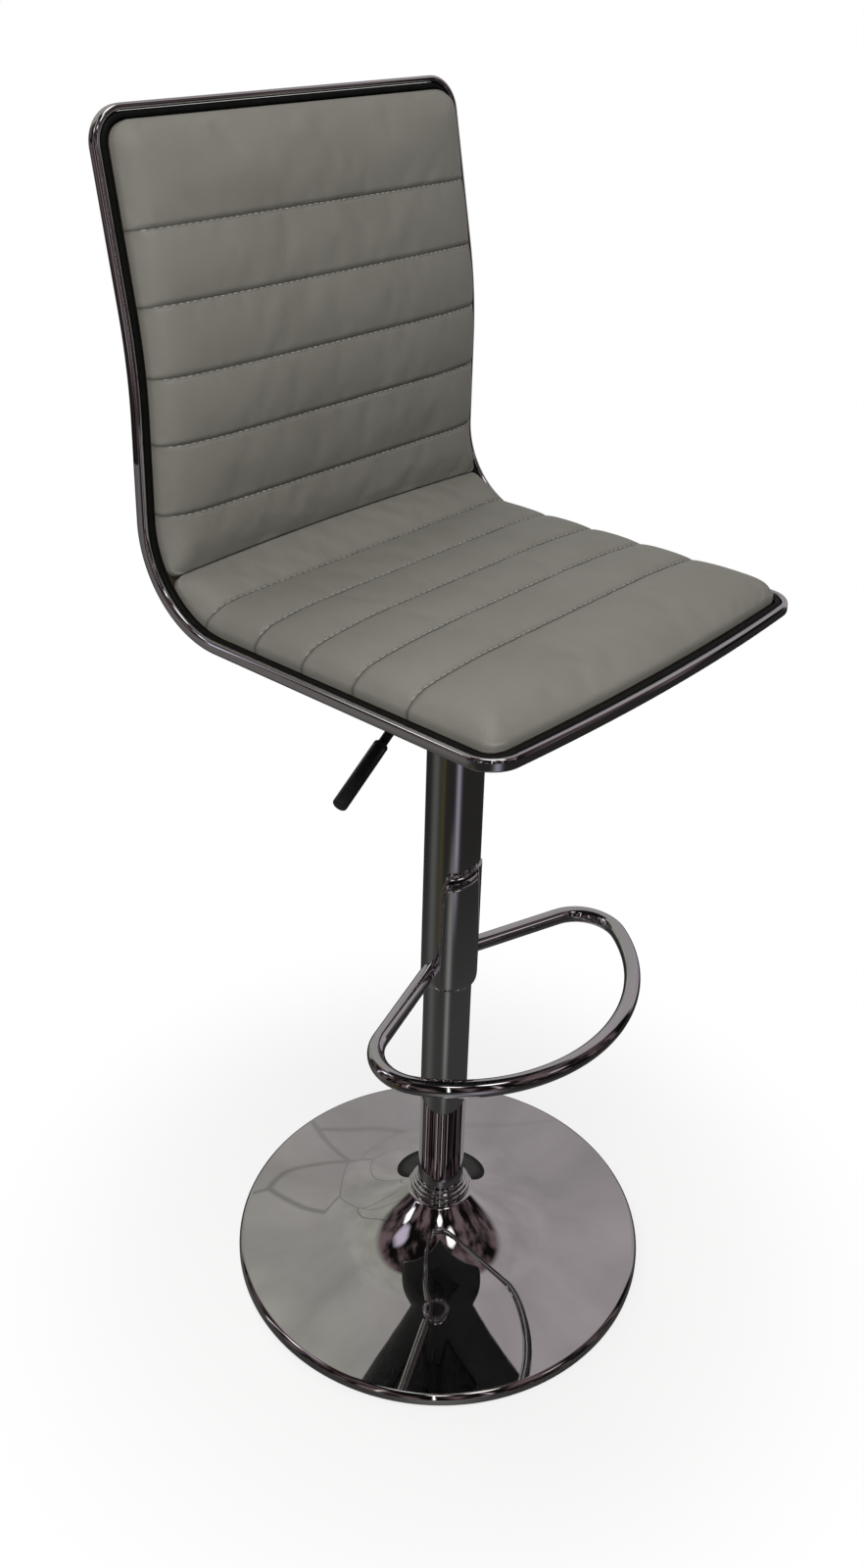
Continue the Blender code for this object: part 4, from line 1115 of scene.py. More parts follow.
@dataclass
class Rim:
    """The chrome rim, the black bead inside it and the skin behind the seat."""

    line: SideLine  # The seat's side line.
    frame_width: float = 0.0055  # Width of the chrome rim's section.
    frame_depth: float = 0.0105  # Depth of that section.
    frame_drop: float = 0.002  # How far the rim stands below the line.
    band_width: float = 0.0062  # Width of the black bead.
    band_low: float = 0.0023  # Its lower edge above the line.
    band_top: float = 0.0077  # Its crest above the line.
    skin_low: float = 0.0008  # The rear skin's outer face above the line.
    skin_thick: float = 0.0012  # Thickness of the skin.
    side_step: float = 0.004  # Length of one step along the sides.
    gap: float = 0.0003  # Gap between pieces.

    def sweep(self, name: str, section: list[Point2], inset: float) -> Piece:
        """Carries a section round the flat outline and bends it onto the side line.

        Args:
            name: The piece's name.
            section: (outwards, up) points of the section.
            inset: How far the section's middle lies inside the outline.

        Returns:
            The piece.
        """
        front_steps, corner_steps, top_steps = 24, 14, 16
        half = self.line.width / 2 - inset
        low = self.line.front_corner - inset
        high = self.line.top_corner - inset
        top = self.line.length - inset
        made = Bench.ring(name, [(0.0, inset - out, up) for out, up in section])
        front = half - low
        Bench.push((front / front_steps, 0.0, 0.0), front_steps)
        Bench.swing(corner_steps, 90.0, (front, inset + low, 0.0), UPRIGHT)
        side = top - high - inset - low
        side_steps = round(side / self.side_step)
        Bench.push((0.0, side / side_steps, 0.0), side_steps)
        Bench.swing(corner_steps, 90.0, (half - high, top - high, 0.0), UPRIGHT)
        Bench.push((-(half - high) / top_steps, 0.0, 0.0), top_steps)
        Bench.close(60.0)
        Bench.mirror(made, 0.00002)
        for vertex in made.data.vertices:
            vertex.co = self.line.wrap(*vertex.co)
        return Bench.close(60.0)

    def build_frame(self) -> None:
        """The flat-oval chrome rim."""
        radius = self.frame_width / 2
        straight = self.frame_depth / 2 - radius
        middle = self.frame_depth / 2 - self.frame_drop
        section = arc((0.0, middle + straight), radius, 0.0, 180.0, 10)
        section += arc((0.0, middle - straight), radius, 180.0, 360.0, 10)
        fit(self.sweep("seat_rim_chrome", section, radius), Body.SEAT, CHROME, "seat_frame")

    def build_band(self) -> None:
        """The black bead between the rim and the pads."""
        half = self.band_width / 2
        section = [(-half, self.band_low), (half, self.band_low)]
        section += arc((0.0, self.band_top - half), half, 0.0, 180.0, 10)
        inset = self.frame_width + self.gap + half
        fit(self.sweep("edge_bead_black", section, inset), Body.SEAT, EDGE, "edge_band")

    def build_skin(self) -> None:
        """The skin under the seat and behind the back."""
        inset = self.frame_width + self.gap
        end = self.line.length - inset
        half = self.line.width / 2 - inset
        corners = (self.line.front_corner - inset, self.line.top_corner - inset)
        turns = [1.0 - math.cos(math.pi / 2 * i / 8) for i in range(9)]
        low, high = inset + corners[0], end - corners[1]
        count = 150
        rows = [inset + corners[0] * turn for turn in turns]
        rows += [low + (high - low) * i / count for i in range(1, count)]
        rows += [end - corners[1] * turn for turn in reversed(turns)]
        last = len(rows) - 1
        made = Bench.grid("rear_skin_vinyl", 32, last)
        for vertex in made.data.vertices:
            along = rows[round((vertex.co.y + 0.5) * last)]
            x = 2.0 * vertex.co.x * self.line.half_width(along, inset, end, half, corners)
            vertex.co = self.line.wrap(x, along, self.skin_low)
        upwards = sum(face.normal.z for face in made.data.polygons) > 0.0
        Bench.thicken(made, self.skin_thick, upwards)
        fit(Bench.close(40.0), Body.SEAT, REAR, "rear_cover")

    def build(self) -> None:
        """Builds the rim's pieces."""
        self.build_frame()
        self.build_band()
        self.build_skin()


STUFFING: dict[str, object] = {
    "quality": 5,
    "mass": 0.3,
    "tension_stiffness": 20.0,
    "compression_stiffness": 20.0,
    "shear_stiffness": 8.0,
    "bending_stiffness": 3.0,
    "use_pressure": True,
    "uniform_pressure_force": 4.0,
    "vertex_group_mass": "held",
    "shrink_min": -0.004,
}


@dataclass
class Pad:
    """A channelled pad in faux leather: a foam blank, blown up by simulation and sewn."""

    line: SideLine  # The seat's side line.
    name: str  # The piece's name.
    node: str  # The CAD node that it stands for.
    start: float  # Where the pad starts along the line.
    end: float  # Where it ends.
    seams: tuple[float, ...]  # Distances of its seams.
    corners: Point2  # Corner radii at its start and end.
    crease_at_end: bool  # Whether the crease between the pads is its end.
    stitch_side: int  # Side of the seam on which the thread shows, 1 for further along the line.
    inset: float = 0.0123  # How far the pad's edge lies inside the outline.
    bottom: float = 0.0075  # The pad's flat underside above the line.
    rim: float = 0.0057  # Height of the edge.
    roll: Point2 = (0.010, 0.006)  # Height and reach of the rolled edge.
    crown: Point2 = (0.010, 0.050)  # Height and reach of the crown.
    puff: Point2 = (0.0054, 0.009)  # Height and reach of the puffed panels.
    slack: float = 0.55  # Share of the puff that the simulation makes.
    # How far the simulation may move a point, and how far from the edge that is reached.
    cap: Point2 = (0.0045, 0.007)
    soft: float = 0.004  # How far the edge's corners are rounded off.
    crease_share: float = 0.55  # Share of its distance that counts towards the crease.
    groove: Point2 = (0.0016, 0.0022)  # Depth and half width of a seam's groove.
    groove_fade: float = 0.004  # Distance from the pad's edge over which the grooves fade in.
    # Depth of the puckers beside a seam, where they start and how far they reach.
    pucker: Point3 = (0.00016, 0.002, 0.006)
    columns: int = 72  # Columns of the blank.
    row_step: Point2 = (0.0062, 0.0013)  # Longest and shortest step between its rows.
    # Rows beside a seam.
    seam_rows: tuple[float, ...] = (-0.0066, -0.0036, -0.0015, 0.0, 0.0015, 0.0036, 0.0066)
    stitch: Point3 = (0.0045, 0.0013, 0.0012)  # Length, width and height of a stitch.
    stitch_pitch: float = 0.0064  # Distance between stitches.
    stitch_half: float = 0.0019  # Half the distance between a stitch's two points on the leather.
    stitch_offset: float = 0.0010  # Distance of the thread from its seam.
    stitch_lift: float = 0.0003  # Height of the thread's middle above the leather.
    stitch_margin: float = 0.008  # Length at each end of a seam without thread.

    @property
    def edges(self) -> tuple[float, ...]:
        """The pad's ends and the seams between them."""
        return (self.start, *self.seams, self.end)

    def nearest_seam(self, along: float) -> tuple[int, float]:
        """The number of the nearest seam and its distance."""
        number = min(range(len(self.seams)), key=lambda i: abs(self.seams[i] - along))
        return number, abs(along - self.seams[number])

    def filled(self, along: float) -> float:
        """How far a panel is filled out.

        Args:
            along: Distance along the line.

        Returns:
            0 on a seam and 1 in the middle of a panel.
        """
        for low, high in zip(self.edges, self.edges[1:]):
            if low <= along <= high:
                return 1.0 - abs(2.0 * (along - low) / (high - low) - 1.0) ** 2.6
        return 0.0

    def limit(self, along: float) -> float:
        """Half the pad's width at a distance along the line."""
        half = self.line.width / 2 - self.inset
        return self.line.half_width(along, self.start, self.end, half, self.corners)

    def edge_depth(self, x: float, along: float) -> float:
        """Distance in from the pad's edge, rounded off at the corners.

        Args:
            x: Place across.
            along: Distance along the line.

        Returns:
            The distance.
        """
        reaches = [self.limit(along) - abs(x), along - self.start, self.end - along]
        reaches[2 if self.crease_at_end else 1] *= self.crease_share
        return max(0.0, -self.soft * math.log(sum(math.exp(-reach / self.soft) for reach in reaches)))

    def on_edge(self, x: float, along: float) -> bool:
        """Whether a point lies on the pad's outline."""
        return along in (self.start, self.end) or self.limit(along) - abs(x) < 0.00001

    def puffed(self, share: float, x: float, along: float) -> float:
        """Height that a share of the puff adds to the panels."""
        fill = self.puff[0] * share * self.filled(along)
        return fill * climb(self.edge_depth(x, along), self.puff[1])

    def height(self, x: float, along: float) -> float:
        """Height of the foam blank above the line.

        Args:
            x: Place across.
            along: Distance along the line.

        Returns:
            The height before the simulation.
        """
        depth = self.edge_depth(x, along)
        up = self.bottom + self.rim
        for high, reach in (self.roll, self.crown):
            up += high * climb(depth, reach)
        return up + self.puffed(1.0 - self.slack, x, along)

    def pattern_rows(self) -> list[float]:
        """Rows of the blank, close at its ends and on each side of a seam.

        Returns:
            Their distances along the line.
        """
        longest, shortest = self.row_step
        rows = []
        for end, turn, corner in ((self.start, 1.0, self.corners[0]), (self.end, -1.0, self.corners[1])):
            rows += [end + turn * corner * (1.0 - math.cos(math.pi / 2 * i / 6)) for i in range(7)]
            rows += [end + turn * (corner + 0.004)]
        for seam in self.seams:
            rows += [seam + offset for offset in self.seam_rows]
        for low, high in zip(self.edges, self.edges[1:]):
            count = max(2, round((high - low) / longest))
            rows += [low + (high - low) * i / count for i in range(1, count)]
        kept = []
        for row in sorted(rows):
            if not kept or row - kept[-1] > shortest:
                kept.append(row)
        for exact in self.edges:
            nearest = min(range(len(kept)), key=lambda i: abs(kept[i] - exact))
            kept[nearest] = exact
        return kept

    def build_blank(self) -> Piece:
        """The closed foam blank, with its pattern stored as a UV map.

        Returns:
            The blank.
        """
        rows = self.pattern_rows()
        last = len(rows) - 1
        made = Bench.grid(self.name, self.columns, last)
        Bench.open()
        Bench.push((0.0, 0.0, -1.0))
        Bench.face_outwards()
        Bench.leave()
        mesh = made.data
        pattern = []
        top = set()
        held = made.vertex_groups.new(name="held")
        for vertex in mesh.vertices:
            along = rows[round((vertex.co.y + 0.5) * last)]
            across = 2.0 * vertex.co.x
            across = math.copysign(1.0 - (1.0 - abs(across)) ** 1.35, across)
            x = across * self.limit(along)
            pattern.append((x, along))
            under = vertex.co.z < -0.5
            if not under:
                top.add(vertex.index)
            if under or along in self.seams or self.on_edge(x, along):
                held.add([vertex.index], 1.0, "REPLACE")
            up = self.bottom if under else self.height(x, along)
            vertex.co = self.line.wrap(x, self.line.creased(x, along), up)
        rim = {vertex for vertex, place in enumerate(pattern) if self.on_edge(*place)}
        firm = mesh.attributes.new("crease_edge", "FLOAT", "EDGE")
        for edge in mesh.edges:
            if rim.issuperset(edge.vertices) and not top.intersection(edge.vertices):
                firm.data[edge.index].value = 1.0
        while mesh.uv_layers:
            mesh.uv_layers.remove(mesh.uv_layers[0])
        flat = mesh.uv_layers.new(name="pattern")
        for loop in mesh.loops:
            flat.data[loop.index].uv = pattern[loop.vertex_index]
        return made

    @staticmethod
    def pattern_of(mesh: bpy.types.Mesh) -> dict[int, Point2]:
        """Each point's place across and distance along, from the UV map."""
        flat = mesh.uv_layers["pattern"].data
        return {loop.vertex_index: tuple(flat[loop.index].uv) for loop in mesh.loops}

    def inflate(self, blank: Piece) -> None:
        """Blows up the blank between its seams and applies the result.

        Args:
            blank: The foam blank.
        """
        frames = 20
        mesh = blank.data
        rest = [vertex.co.copy() for vertex in mesh.vertices]
        cloth = blank.modifiers.new("stuffing", "CLOTH")
        for name, value in STUFFING.items():
            setattr(cloth.settings, name, value)
        cloth.settings.effector_weights.gravity = 0.0
        cloth.point_cache.frame_start = 1
        cloth.point_cache.frame_end = frames
        scene = bpy.context.scene
        for number in range(1, frames + 1):
            scene.frame_set(number)
        Bench.hold(blank)
        bpy.ops.object.modifier_apply(modifier=cloth.name)
        scene.frame_set(1)
        furthest = 0.0
        place = self.pattern_of(mesh)
        for vertex, start in zip(mesh.vertices, rest):
            moved = vertex.co - start
            furthest = max(furthest, moved.length)
            cap = self.cap[0] * climb(self.edge_depth(*place[vertex.index]), self.cap[1])
            if moved.length > cap:
                moved *= cap / moved.length
            vertex.co = start + moved
        LOG.info("%s: the simulation moved it %.1f mm at most", self.name, furthest * 1000)

    def swell(self, blank: Piece) -> None:
        """Args:
            blank: The foam blank.
        """
        place = self.pattern_of(blank.data)
        for vertex in blank.data.vertices:
            x, along = place[vertex.index]
            base = self.line.wrap(x, self.line.creased(x, along), self.bottom)
            if (vertex.co - base).length >= 0.001:
                vertex.co += self.line.outwards(x, along) * self.puffed(self.slack, x, along)

    def pulled_in(self, x: float, along: float) -> float:
        """How far the thread pulls the leather in, in a seam's groove and in the puckers beside it.

        Args:
            x: Place across.
            along: Distance along the line.

        Returns:
            The depth.
        """
        seam, distance = self.nearest_seam(along)
        pull = self.groove[0] * math.exp(-((distance / self.groove[1]) ** 2))
        wave = math.sin(math.tau * x / 0.0116 + 2.1 * seam)
        wave += 0.7 * math.sin(math.tau * x / 0.0189 + 1.3 * seam)
        depth, start, reach = self.pucker
        pull += depth * wave * math.exp(-distance / reach) * climb(distance, start)
        return pull * climb(self.edge_depth(x, along), self.groove_fade)

    def sew(self, blank: Piece) -> None:
        """Smooths the pad, pulls in its seams and stores each point's distance from a seam.

        Args:
            blank: The filled blank.
        """
        Bench.apply(blank, "SUBSURF", levels=1, render_levels=1)
        mesh = blank.data
        place = self.pattern_of(mesh)
        # This distance drives the leather's painted seam shade and its puckers.
        near = mesh.attributes.new("seam_distance", "FLOAT", "POINT")
        normals = [vertex.normal.copy() for vertex in mesh.vertices]
        for vertex, normal in zip(mesh.vertices, normals):
            x, along = place[vertex.index]
            near.data[vertex.index].value = self.nearest_seam(along)[1]
            outwards = self.line.outwards(x, along)
            if normal.dot(outwards) >= 0.15:
                vertex.co -= outwards * self.pulled_in(x, along)
        Bench.close(60.0)

    def build_stitches(self, pad: Piece) -> None:
        """The thread beside each seam: one stitch is modelled and copied along.

        Args:
            pad: The sewn pad.
        """
        name = self.name.replace("_pad", "_stitches")
        ball = bpy.ops.mesh.primitive_uv_sphere_add
        made = Bench.begin(name, ball, segments=8, ring_count=6, radius=0.5)
        Bench.open()
        bpy.ops.transform.resize(value=self.stitch)
        Bench.leave()
        surface = BVHTree.FromPolygons(
            [vertex.co for vertex in pad.data.vertices], [tuple(face.vertices) for face in pad.data.polygons]
        )
        work = bmesh.new()
        for seam in self.seams:
            reach = self.limit(seam) - self.stitch_margin
            count = int(2.0 * reach / self.stitch_pitch)
            along = seam + self.stitch_side * self.stitch_offset
            for i in range(count + 1):
                x = -reach + 2.0 * reach * i / count
                sides = (x - self.stitch_half, x + self.stitch_half)
                ends = [self.thread_point(surface, side, along) for side in sides]
                if None not in ends:
                    self.add_stitch(work, made.data, *ends, self.line.outwards(x, along))
        work.to_mesh(made.data)
        work.free()
        made.data.shade_smooth()
        fit(made, Body.SEAT, THREAD)

    def thread_point(self, surface: BVHTree, x: float, along: float) -> Vector | None:
        """Where the thread lies on the leather.

        Args:
            surface: The sewn pad.
            x: Place across.
            along: Distance along the line.

        Returns:
            The point, or None beside the pad.
        """
        above = 0.06
        outwards = self.line.outwards(x, along)
        start = self.line.wrap(x, self.line.creased(x, along), above)
        hit = surface.ray_cast(start, -outwards, above)[0]
        return None if hit is None else hit + outwards * self.stitch_lift

    @staticmethod
    def add_stitch(
        work: bmesh.types.BMesh, model: bpy.types.Mesh, first: Vector, last: Vector, up: Vector
    ) -> None:
        """Adds one stitch between two points.

        Args:
            work: The mesh that takes the stitches.
            model: The stitch that is copied, with its length along X.
            first: One end.
            last: The other end.
            up: The direction away from the leather.
        """
        run = (last - first).normalized()
        side = up.cross(run).normalized()
        turn = Matrix((run, side, run.cross(side))).transposed().to_4x4()
        before = len(work.verts)
        work.from_mesh(model)
        work.verts.ensure_lookup_table()
        place = Matrix.Translation((first + last) / 2) @ turn
        bmesh.ops.transform(work, matrix=place, verts=work.verts[before:])

    def build(self) -> None:
        """Builds the pad and its stitches."""
        made = self.build_blank()
        self.inflate(made)
        self.sew(made)
        fit(made, Body.SEAT, LEATHER, self.node)
        self.build_stitches(made)


@dataclass
class Seat:
    """The seat and back: rim, skin and two pads."""

    line: SideLine = SideLine()  # The seat's side line.
    inset: float = 0.0123  # How far the pads' edges lie inside the outline.
    crease_gap: float = 0.00015  # Half the gap between the pads.
    crease_corner: float = 0.010  # Corner radius of the pads at the crease.
    # The seat pad's seams, as distances along the line.
    seat_seams: tuple[float, ...] = (0.0916, 0.1471, 0.2017, 0.2547, 0.3162)
    back_seams: tuple[float, ...] = (0.4351, 0.4936, 0.5461, 0.5988, 0.6559)  # The back pad's seams.

    def build(self) -> None:
        """Builds the seat's pieces."""
        line = self.line
        Rim(line).build()
        seat_corners = (line.front_corner - self.inset, self.crease_corner)
        back_corners = (self.crease_corner, line.top_corner - self.inset)
        Pad(
            line, "seat_pad", "seat_cushion", self.inset, line.crease - self.crease_gap, self.seat_seams,
            seat_corners, crease_at_end=True, stitch_side=1, inset=self.inset,
        ).build()
        Pad(
            line, "back_pad", "back_cushion", line.crease + self.crease_gap, line.length - self.inset,
            self.back_seams, back_corners, crease_at_end=False, stitch_side=-1, inset=self.inset,
        ).build()


@dataclass
class Lever:
    """The height lever and its grip."""

    turn: float = 12.0  # Turn about Z from -X, in degrees.
    slope: float = 22.9  # Slope of the outer part, in degrees.
    height: float = 0.6855  # Height of the inner part.
    root: float = -0.004  # Where the rod starts.
    knee: float = 0.0245  # Distance of the knee from the column's axis.
    knee_radius: float = 0.012  # Radius of the knee.
    rod: float = 0.004  # Rod radius.
    grip_start: float = 0.1233  # Where the grip starts.
    grip_end: float = 0.1840  # Where it ends.
    grip_tip: float = 0.007  # Length of the grip past the rod's end.
    grip_radius: float = 0.00625  # Grip radius.
    gap: float = 0.0003  # Gap between rod and grip.

    @property
    def frame(self) -> Matrix:
        """The lever's frame: +X out along it."""
        return Matrix.Rotation(math.pi + math.radians(self.turn), 4, "Z")

    def drop(self, out: float) -> float:
        """Height of the sloping part at a distance from the column's axis."""
        return self.height - (out - self.knee) * math.tan(math.radians(self.slope))

    def build_rod(self) -> None:
        """The bent rod."""
        sides = 20
        ring = [(self.root, y, self.height + z) for y, z in circle(self.rod, sides)]
        made = Bench.ring("lever_bent_rod", ring)
        slope = math.radians(self.slope)
        bend_in = self.knee - self.knee_radius * math.tan(slope / 2)
        bend_out = bend_in + self.knee_radius * math.sin(slope)
        end = self.grip_end - self.grip_tip
        Bench.push((bend_in - self.root, 0.0, 0.0))
        Bench.swing(8, self.slope, (bend_in, 0.0, self.height - self.knee_radius), (0.0, 1.0, 0.0))
        Bench.push((end - bend_out, 0.0, self.drop(end) - self.drop(bend_out)))
        Bench.cap(sides)
        Bench.close(40.0)
        Bench.move(made, self.frame)
        fit(made, Body.LEVER, BLACK_METAL, "lever_rod")

    def build_grip(self) -> None:
        """The moulded grip with a rounded end and a shallow groove near its mouth."""
        slope = math.radians(self.slope)
        length = (self.grip_end - self.grip_start) / math.cos(slope)
        bore = self.rod + self.gap
        depth = (self.grip_end - self.grip_tip - self.grip_start) / math.cos(slope) + 0.001
        outer = self.grip_radius
        profile = [(0.0, length)]
        profile += arc((outer - 0.0022, length - 0.0022), 0.0022, 90.0, 0.0, 8)
        profile += [(outer, 0.0052), (outer - 0.0004, 0.0046), (outer - 0.0004, 0.0040), (outer, 0.0034)]
        profile += arc((outer - 0.0014, 0.0014), 0.0014, 0.0, -90.0, 6)
        profile += [(bore, 0.0), (bore, depth), (0.0, depth)]
        made = Bench.turn("lever_moulded_grip", profile, 48, 40.0)
        place = Matrix.Translation((self.grip_start, 0.0, self.drop(self.grip_start)))
        Bench.move(made, self.frame @ place @ Matrix.Rotation(math.pi / 2 + slope, 4, "Y"))
        fit(made, Body.LEVER, GRIP, "lever_grip")

    def build(self) -> None:
        """Builds the lever's pieces."""
        self.build_rod()
        self.build_grip()


@dataclass(frozen=True)
class Lamp:
    """A soft square lamp, which polished pieces don't mirror."""

    name: str  # Its name.
    place: Point3  # Where it hangs.
    aim: Point3  # The point it faces.
    size: float  # Side of the square.
    watts: float  # Its power.
    colour: Colour = (1.0, 0.99, 0.97)  # Its colour.

    def build(self) -> None:
        """Hangs the lamp."""
        data = bpy.data.lights.new(self.name, "AREA")
        data.shape = "SQUARE"
        data.size = self.size
        data.energy = self.watts
        data.color = self.colour
        made = bpy.data.objects.new(self.name, data)
        made.visible_glossy = False
        turn = (Vector(self.aim) - Vector(self.place)).to_track_quat("-Z", "Y").to_matrix().to_4x4()
        made.matrix_world = Matrix.Translation(self.place) @ turn
        bpy.context.scene.collection.objects.link(made)


@dataclass(frozen=True)
class Beam:
    """A painted light streak on a card: away from the stool on the mat, upright on the dome."""

    direction: float  # Its direction in degrees.
    half: float  # Half its width in degrees.
    near: float  # Where it starts, as a distance on the mat and a share of the height on the dome.
    far: float  # Where it ends.
    colour: Colour  # Its colour.


@dataclass(frozen=True)
class Glow:
    """A bright spot painted on the dome, no lamp, which metal mirrors as a painted highlight."""

    direction: float  # Its direction in degrees.
    rise: float  # Its height over the floor, in degrees.
    half: float  # Half its width in degrees.
    colour: Colour  # Its colour.

    def aim(self) -> Vector:
        """The direction from the stool to the painted spot."""
        turn, rise = math.radians(self.direction), math.radians(self.rise)
        return Vector((math.cos(rise) * math.cos(turn), math.cos(rise) * math.sin(turn), math.sin(rise)))


@dataclass
class Studio:
    """The pale floor, the lamps, the reflection cards and the camera."""

    camera_place: Point3 = (-0.8796, -0.7643, 1.2645)  # The camera's place.
    azimuth: float = -0.8539  # Where it looks, in radians.
    pitch: float = 0.4398  # How far it looks down, in radians.
    roll: float = 0.037  # Its roll, in radians.
    lens: float = 35.19  # Focal length in millimetres on a 36 mm long side.
    shift: Point2 = (-0.0176, -0.1126)  # Lens shift as a share of the long side.
    ambient: float = 0.15  # Strength of the light from all round.
    # Where the floor starts to turn white and where it is white, from the stool's middle.
    floor_fade: Point2 = (0.22, 0.5)
    floor_white: Point2 = (0.76, 1.0)  # Share of white at those two places.
    # The wall, the camera's side, the stripes, the spots and the cap below are painted on the dome, which
    # only metal and gloss see: painted reflections and painted highlights.
    far_side: float = 41.0  # Direction of the wall painted on the dome behind the stool, in degrees.
    dome_radius: float = 2.6  # Radius of the dome that metal mirrors.
    wall_half: float = 66.0  # Half the width of that wall, in degrees.
    # Deep and pale colour of its right side.
    wall_right: tuple[Colour, Colour] = ((0.30, 0.275, 0.290), (0.39, 0.355, 0.375))
    # Deep and pale colour of its left side.
    wall_left: tuple[Colour, Colour] = ((0.245, 0.25, 0.220), (0.37, 0.375, 0.325))
    vein: Colour = (0.14, 0.14, 0.125)  # Colour of the thin lines on it.
    # Dark and light colour of the camera's side.
    brown: tuple[Colour, Colour] = ((0.005, 0.004, 0.004), (0.145, 0.104, 0.110))
    # Heights between which the dome's bright cap, a painted highlight, starts, as shares of its radius.
    painted_cap: Point2 = (0.978, 0.988)
    # Painted reflection: colour of the mat near the stool and away from it.
    mat_reflection_colours: tuple[Colour, Colour] = ((0.045, 0.045, 0.044), (0.022, 0.021, 0.020))
    # Light streaks painted on the mat, which metal shows as painted reflections.
    beams: tuple[Beam, ...] = (
        Beam(142.0, 20.0, 0.0, 9.0, (0.095, 0.095, 0.088)),
        Beam(139.0, 24.0, 1.15, 9.0, (0.14, 0.13, 0.126)),
        Beam(176.0, 9.0, 0.45, 1.3, (0.060, 0.052, 0.026)),
        Beam(-137.0, 10.0, 0.22, 0.70, (0.21, 0.205, 0.195)),
        Beam(-123.0, 9.0, 0.62, 9.0, (0.27, 0.25, 0.31)),
    )
    # Upright bright stripes painted on the dome, which metal shows as painted highlights.
    strips: tuple[Beam, ...] = (
        Beam(-138.0, 0.6, 0.10, 0.85, (1.8, 1.75, 1.65)),
        Beam(136.0, 1.4, 0.10, 0.80, (0.85, 0.78, 0.90)),
        Beam(-164.0, 1.0, 0.20, 0.70, (0.8, 0.74, 0.70)),
        Beam(-112.0, 1.2, 0.30, 0.75, (0.5, 0.44, 0.48)),
    )
    # Bright spots painted on the dome, which metal shows as painted highlights.
    glows: tuple[Glow, ...] = (
        Glow(137.0, 47.0, 4.5, (2.0, 1.95, 2.0)),
        Glow(135.0, 58.0, 6.0, (0.55, 0.48, 0.60)),
        Glow(-135.0, 62.0, 4.0, (2.4, 2.35, 2.3)),
        Glow(-100.0, 68.0, 5.0, (2.4, 2.3, 2.2)),
        Glow(-75.0, 40.0, 5.0, (0.7, 0.66, 0.7)),
    )
    # The lamps that light the stool.
    lamps: tuple[Lamp, ...] = (
        Lamp("overhead_lamp", (-0.9, -0.9, 2.4), (0.0, -0.10, 0.75), 1.4, 26.0),
        Lamp("seat_lamp", (-0.25, -0.55, 1.55), (-0.2, -0.50, 0.76), 0.45, 2.6, (1.0, 0.98, 0.94)),
        Lamp("side_lamp", (-2.1, -0.3, 1.35), (0.0, 0.0, 0.85), 1.1, 9.0, (1.0, 0.98, 0.96)),
        Lamp("rear_top_lamp", (0.6, 1.0, 2.7), (0.0, -0.1, 0.75), 0.9, 9.0),
        Lamp("rear_fill_lamp", (0.9, 2.4, 1.0), (0.0, 0.2, 0.8), 1.4, 26.0),
    )

    def build_camera(self) -> None:
        """The camera at the photograph's view."""
        data = bpy.data.cameras.new("photo_camera")
        data.sensor_width = 36.0
        data.lens = self.lens
        data.shift_x, data.shift_y = self.shift
        data.clip_start, data.clip_end = 0.05, 100.0
        ahead = Vector((
            -math.sin(self.azimuth) * math.cos(self.pitch),
            math.cos(self.azimuth) * math.cos(self.pitch),
            -math.sin(self.pitch),
        ))
        level = Vector((math.cos(self.azimuth), math.sin(self.azimuth), 0.0))
        rise = level.cross(ahead)
        right = math.cos(self.roll) * level + math.sin(self.roll) * rise
        up = -math.sin(self.roll) * level + math.cos(self.roll) * rise
        camera = bpy.data.objects.new("photo_camera", data)
        matrix = Matrix((right, up, -ahead)).transposed().to_4x4()
        matrix.translation = self.camera_place
        camera.matrix_world = matrix
        bpy.context.scene.collection.objects.link(camera)
        bpy.context.scene.camera = camera

    def build_world(self) -> None:
        """Soft light from all round, and white where the camera, metal and glass look past the floor."""
        desk = NodeDesk(bpy.data.worlds.new("studio_world"), "World")
        soft, white = (
            desk.feed(desk.add("Background"), Color=WHITE, Strength=strength)
            for strength in (self.ambient, 1.0)
        )
        bpy.context.scene.world = desk.close(desk.mix(desk.looked_at(), soft, white))

    @staticmethod
    def disc(name: str, radius: float, height: float) -> Piece:
        """A flat disc round the stool, at a height above the floor."""
        settings = {"vertices": 96, "radius": radius, "fill_type": "NGON", "location": (0.0, 0.0, height)}
        return Bench.begin(name, bpy.ops.mesh.primitive_circle_add, **settings)

    def build_floor(self) -> None:
        """The pale floor, which turns white far from the stool."""
        floor = self.disc("studio_floor", 40.0, 0.0)
        desk = NodeDesk(bpy.data.materials.new(floor.name))
        paint = desk.feed(desk.add("BsdfDiffuse"), Color=(0.90, 0.90, 0.90, 1.0))
        glow = desk.feed(desk.add("Emission"), Color=WHITE, Strength=1.0)
        away = desk.vector("LENGTH", desk.place()).outputs["Value"]
        fade = desk.remap(away, *self.floor_fade, *self.floor_white, True)
        share = desk.math("MULTIPLY", desk.looked_at(), fade)
        floor.data.materials.append(desk.close(desk.mix(share, paint, glow)))

    @staticmethod
    def off(desk: NodeDesk, turn: Socket, direction: float) -> Socket:
        """How far a point's direction is off another one, given in degrees, in radians."""
        return desk.math("WRAP", desk.math("SUBTRACT", turn, math.radians(direction)), math.pi, -math.pi)

    @staticmethod
    def sector(desk: NodeDesk, turn: Socket, direction: float, half: float) -> Socket:
        """A soft sector round the stool.

        Args:
            desk: The card's nodes.
            turn: Direction of the shaded point, in radians.
            direction: Middle of the sector in degrees.
            half: Half its width in degrees.

        Returns:
            1 in the middle of the sector and 0 outside it.
        """
        share = desk.math("DIVIDE", Studio.off(desk, turn, direction), math.radians(half))
        share = desk.math("POWER", desk.math("ABSOLUTE", share), 2.0)
        return desk.math("EXPONENT", desk.math("MULTIPLY", share, -1.0))

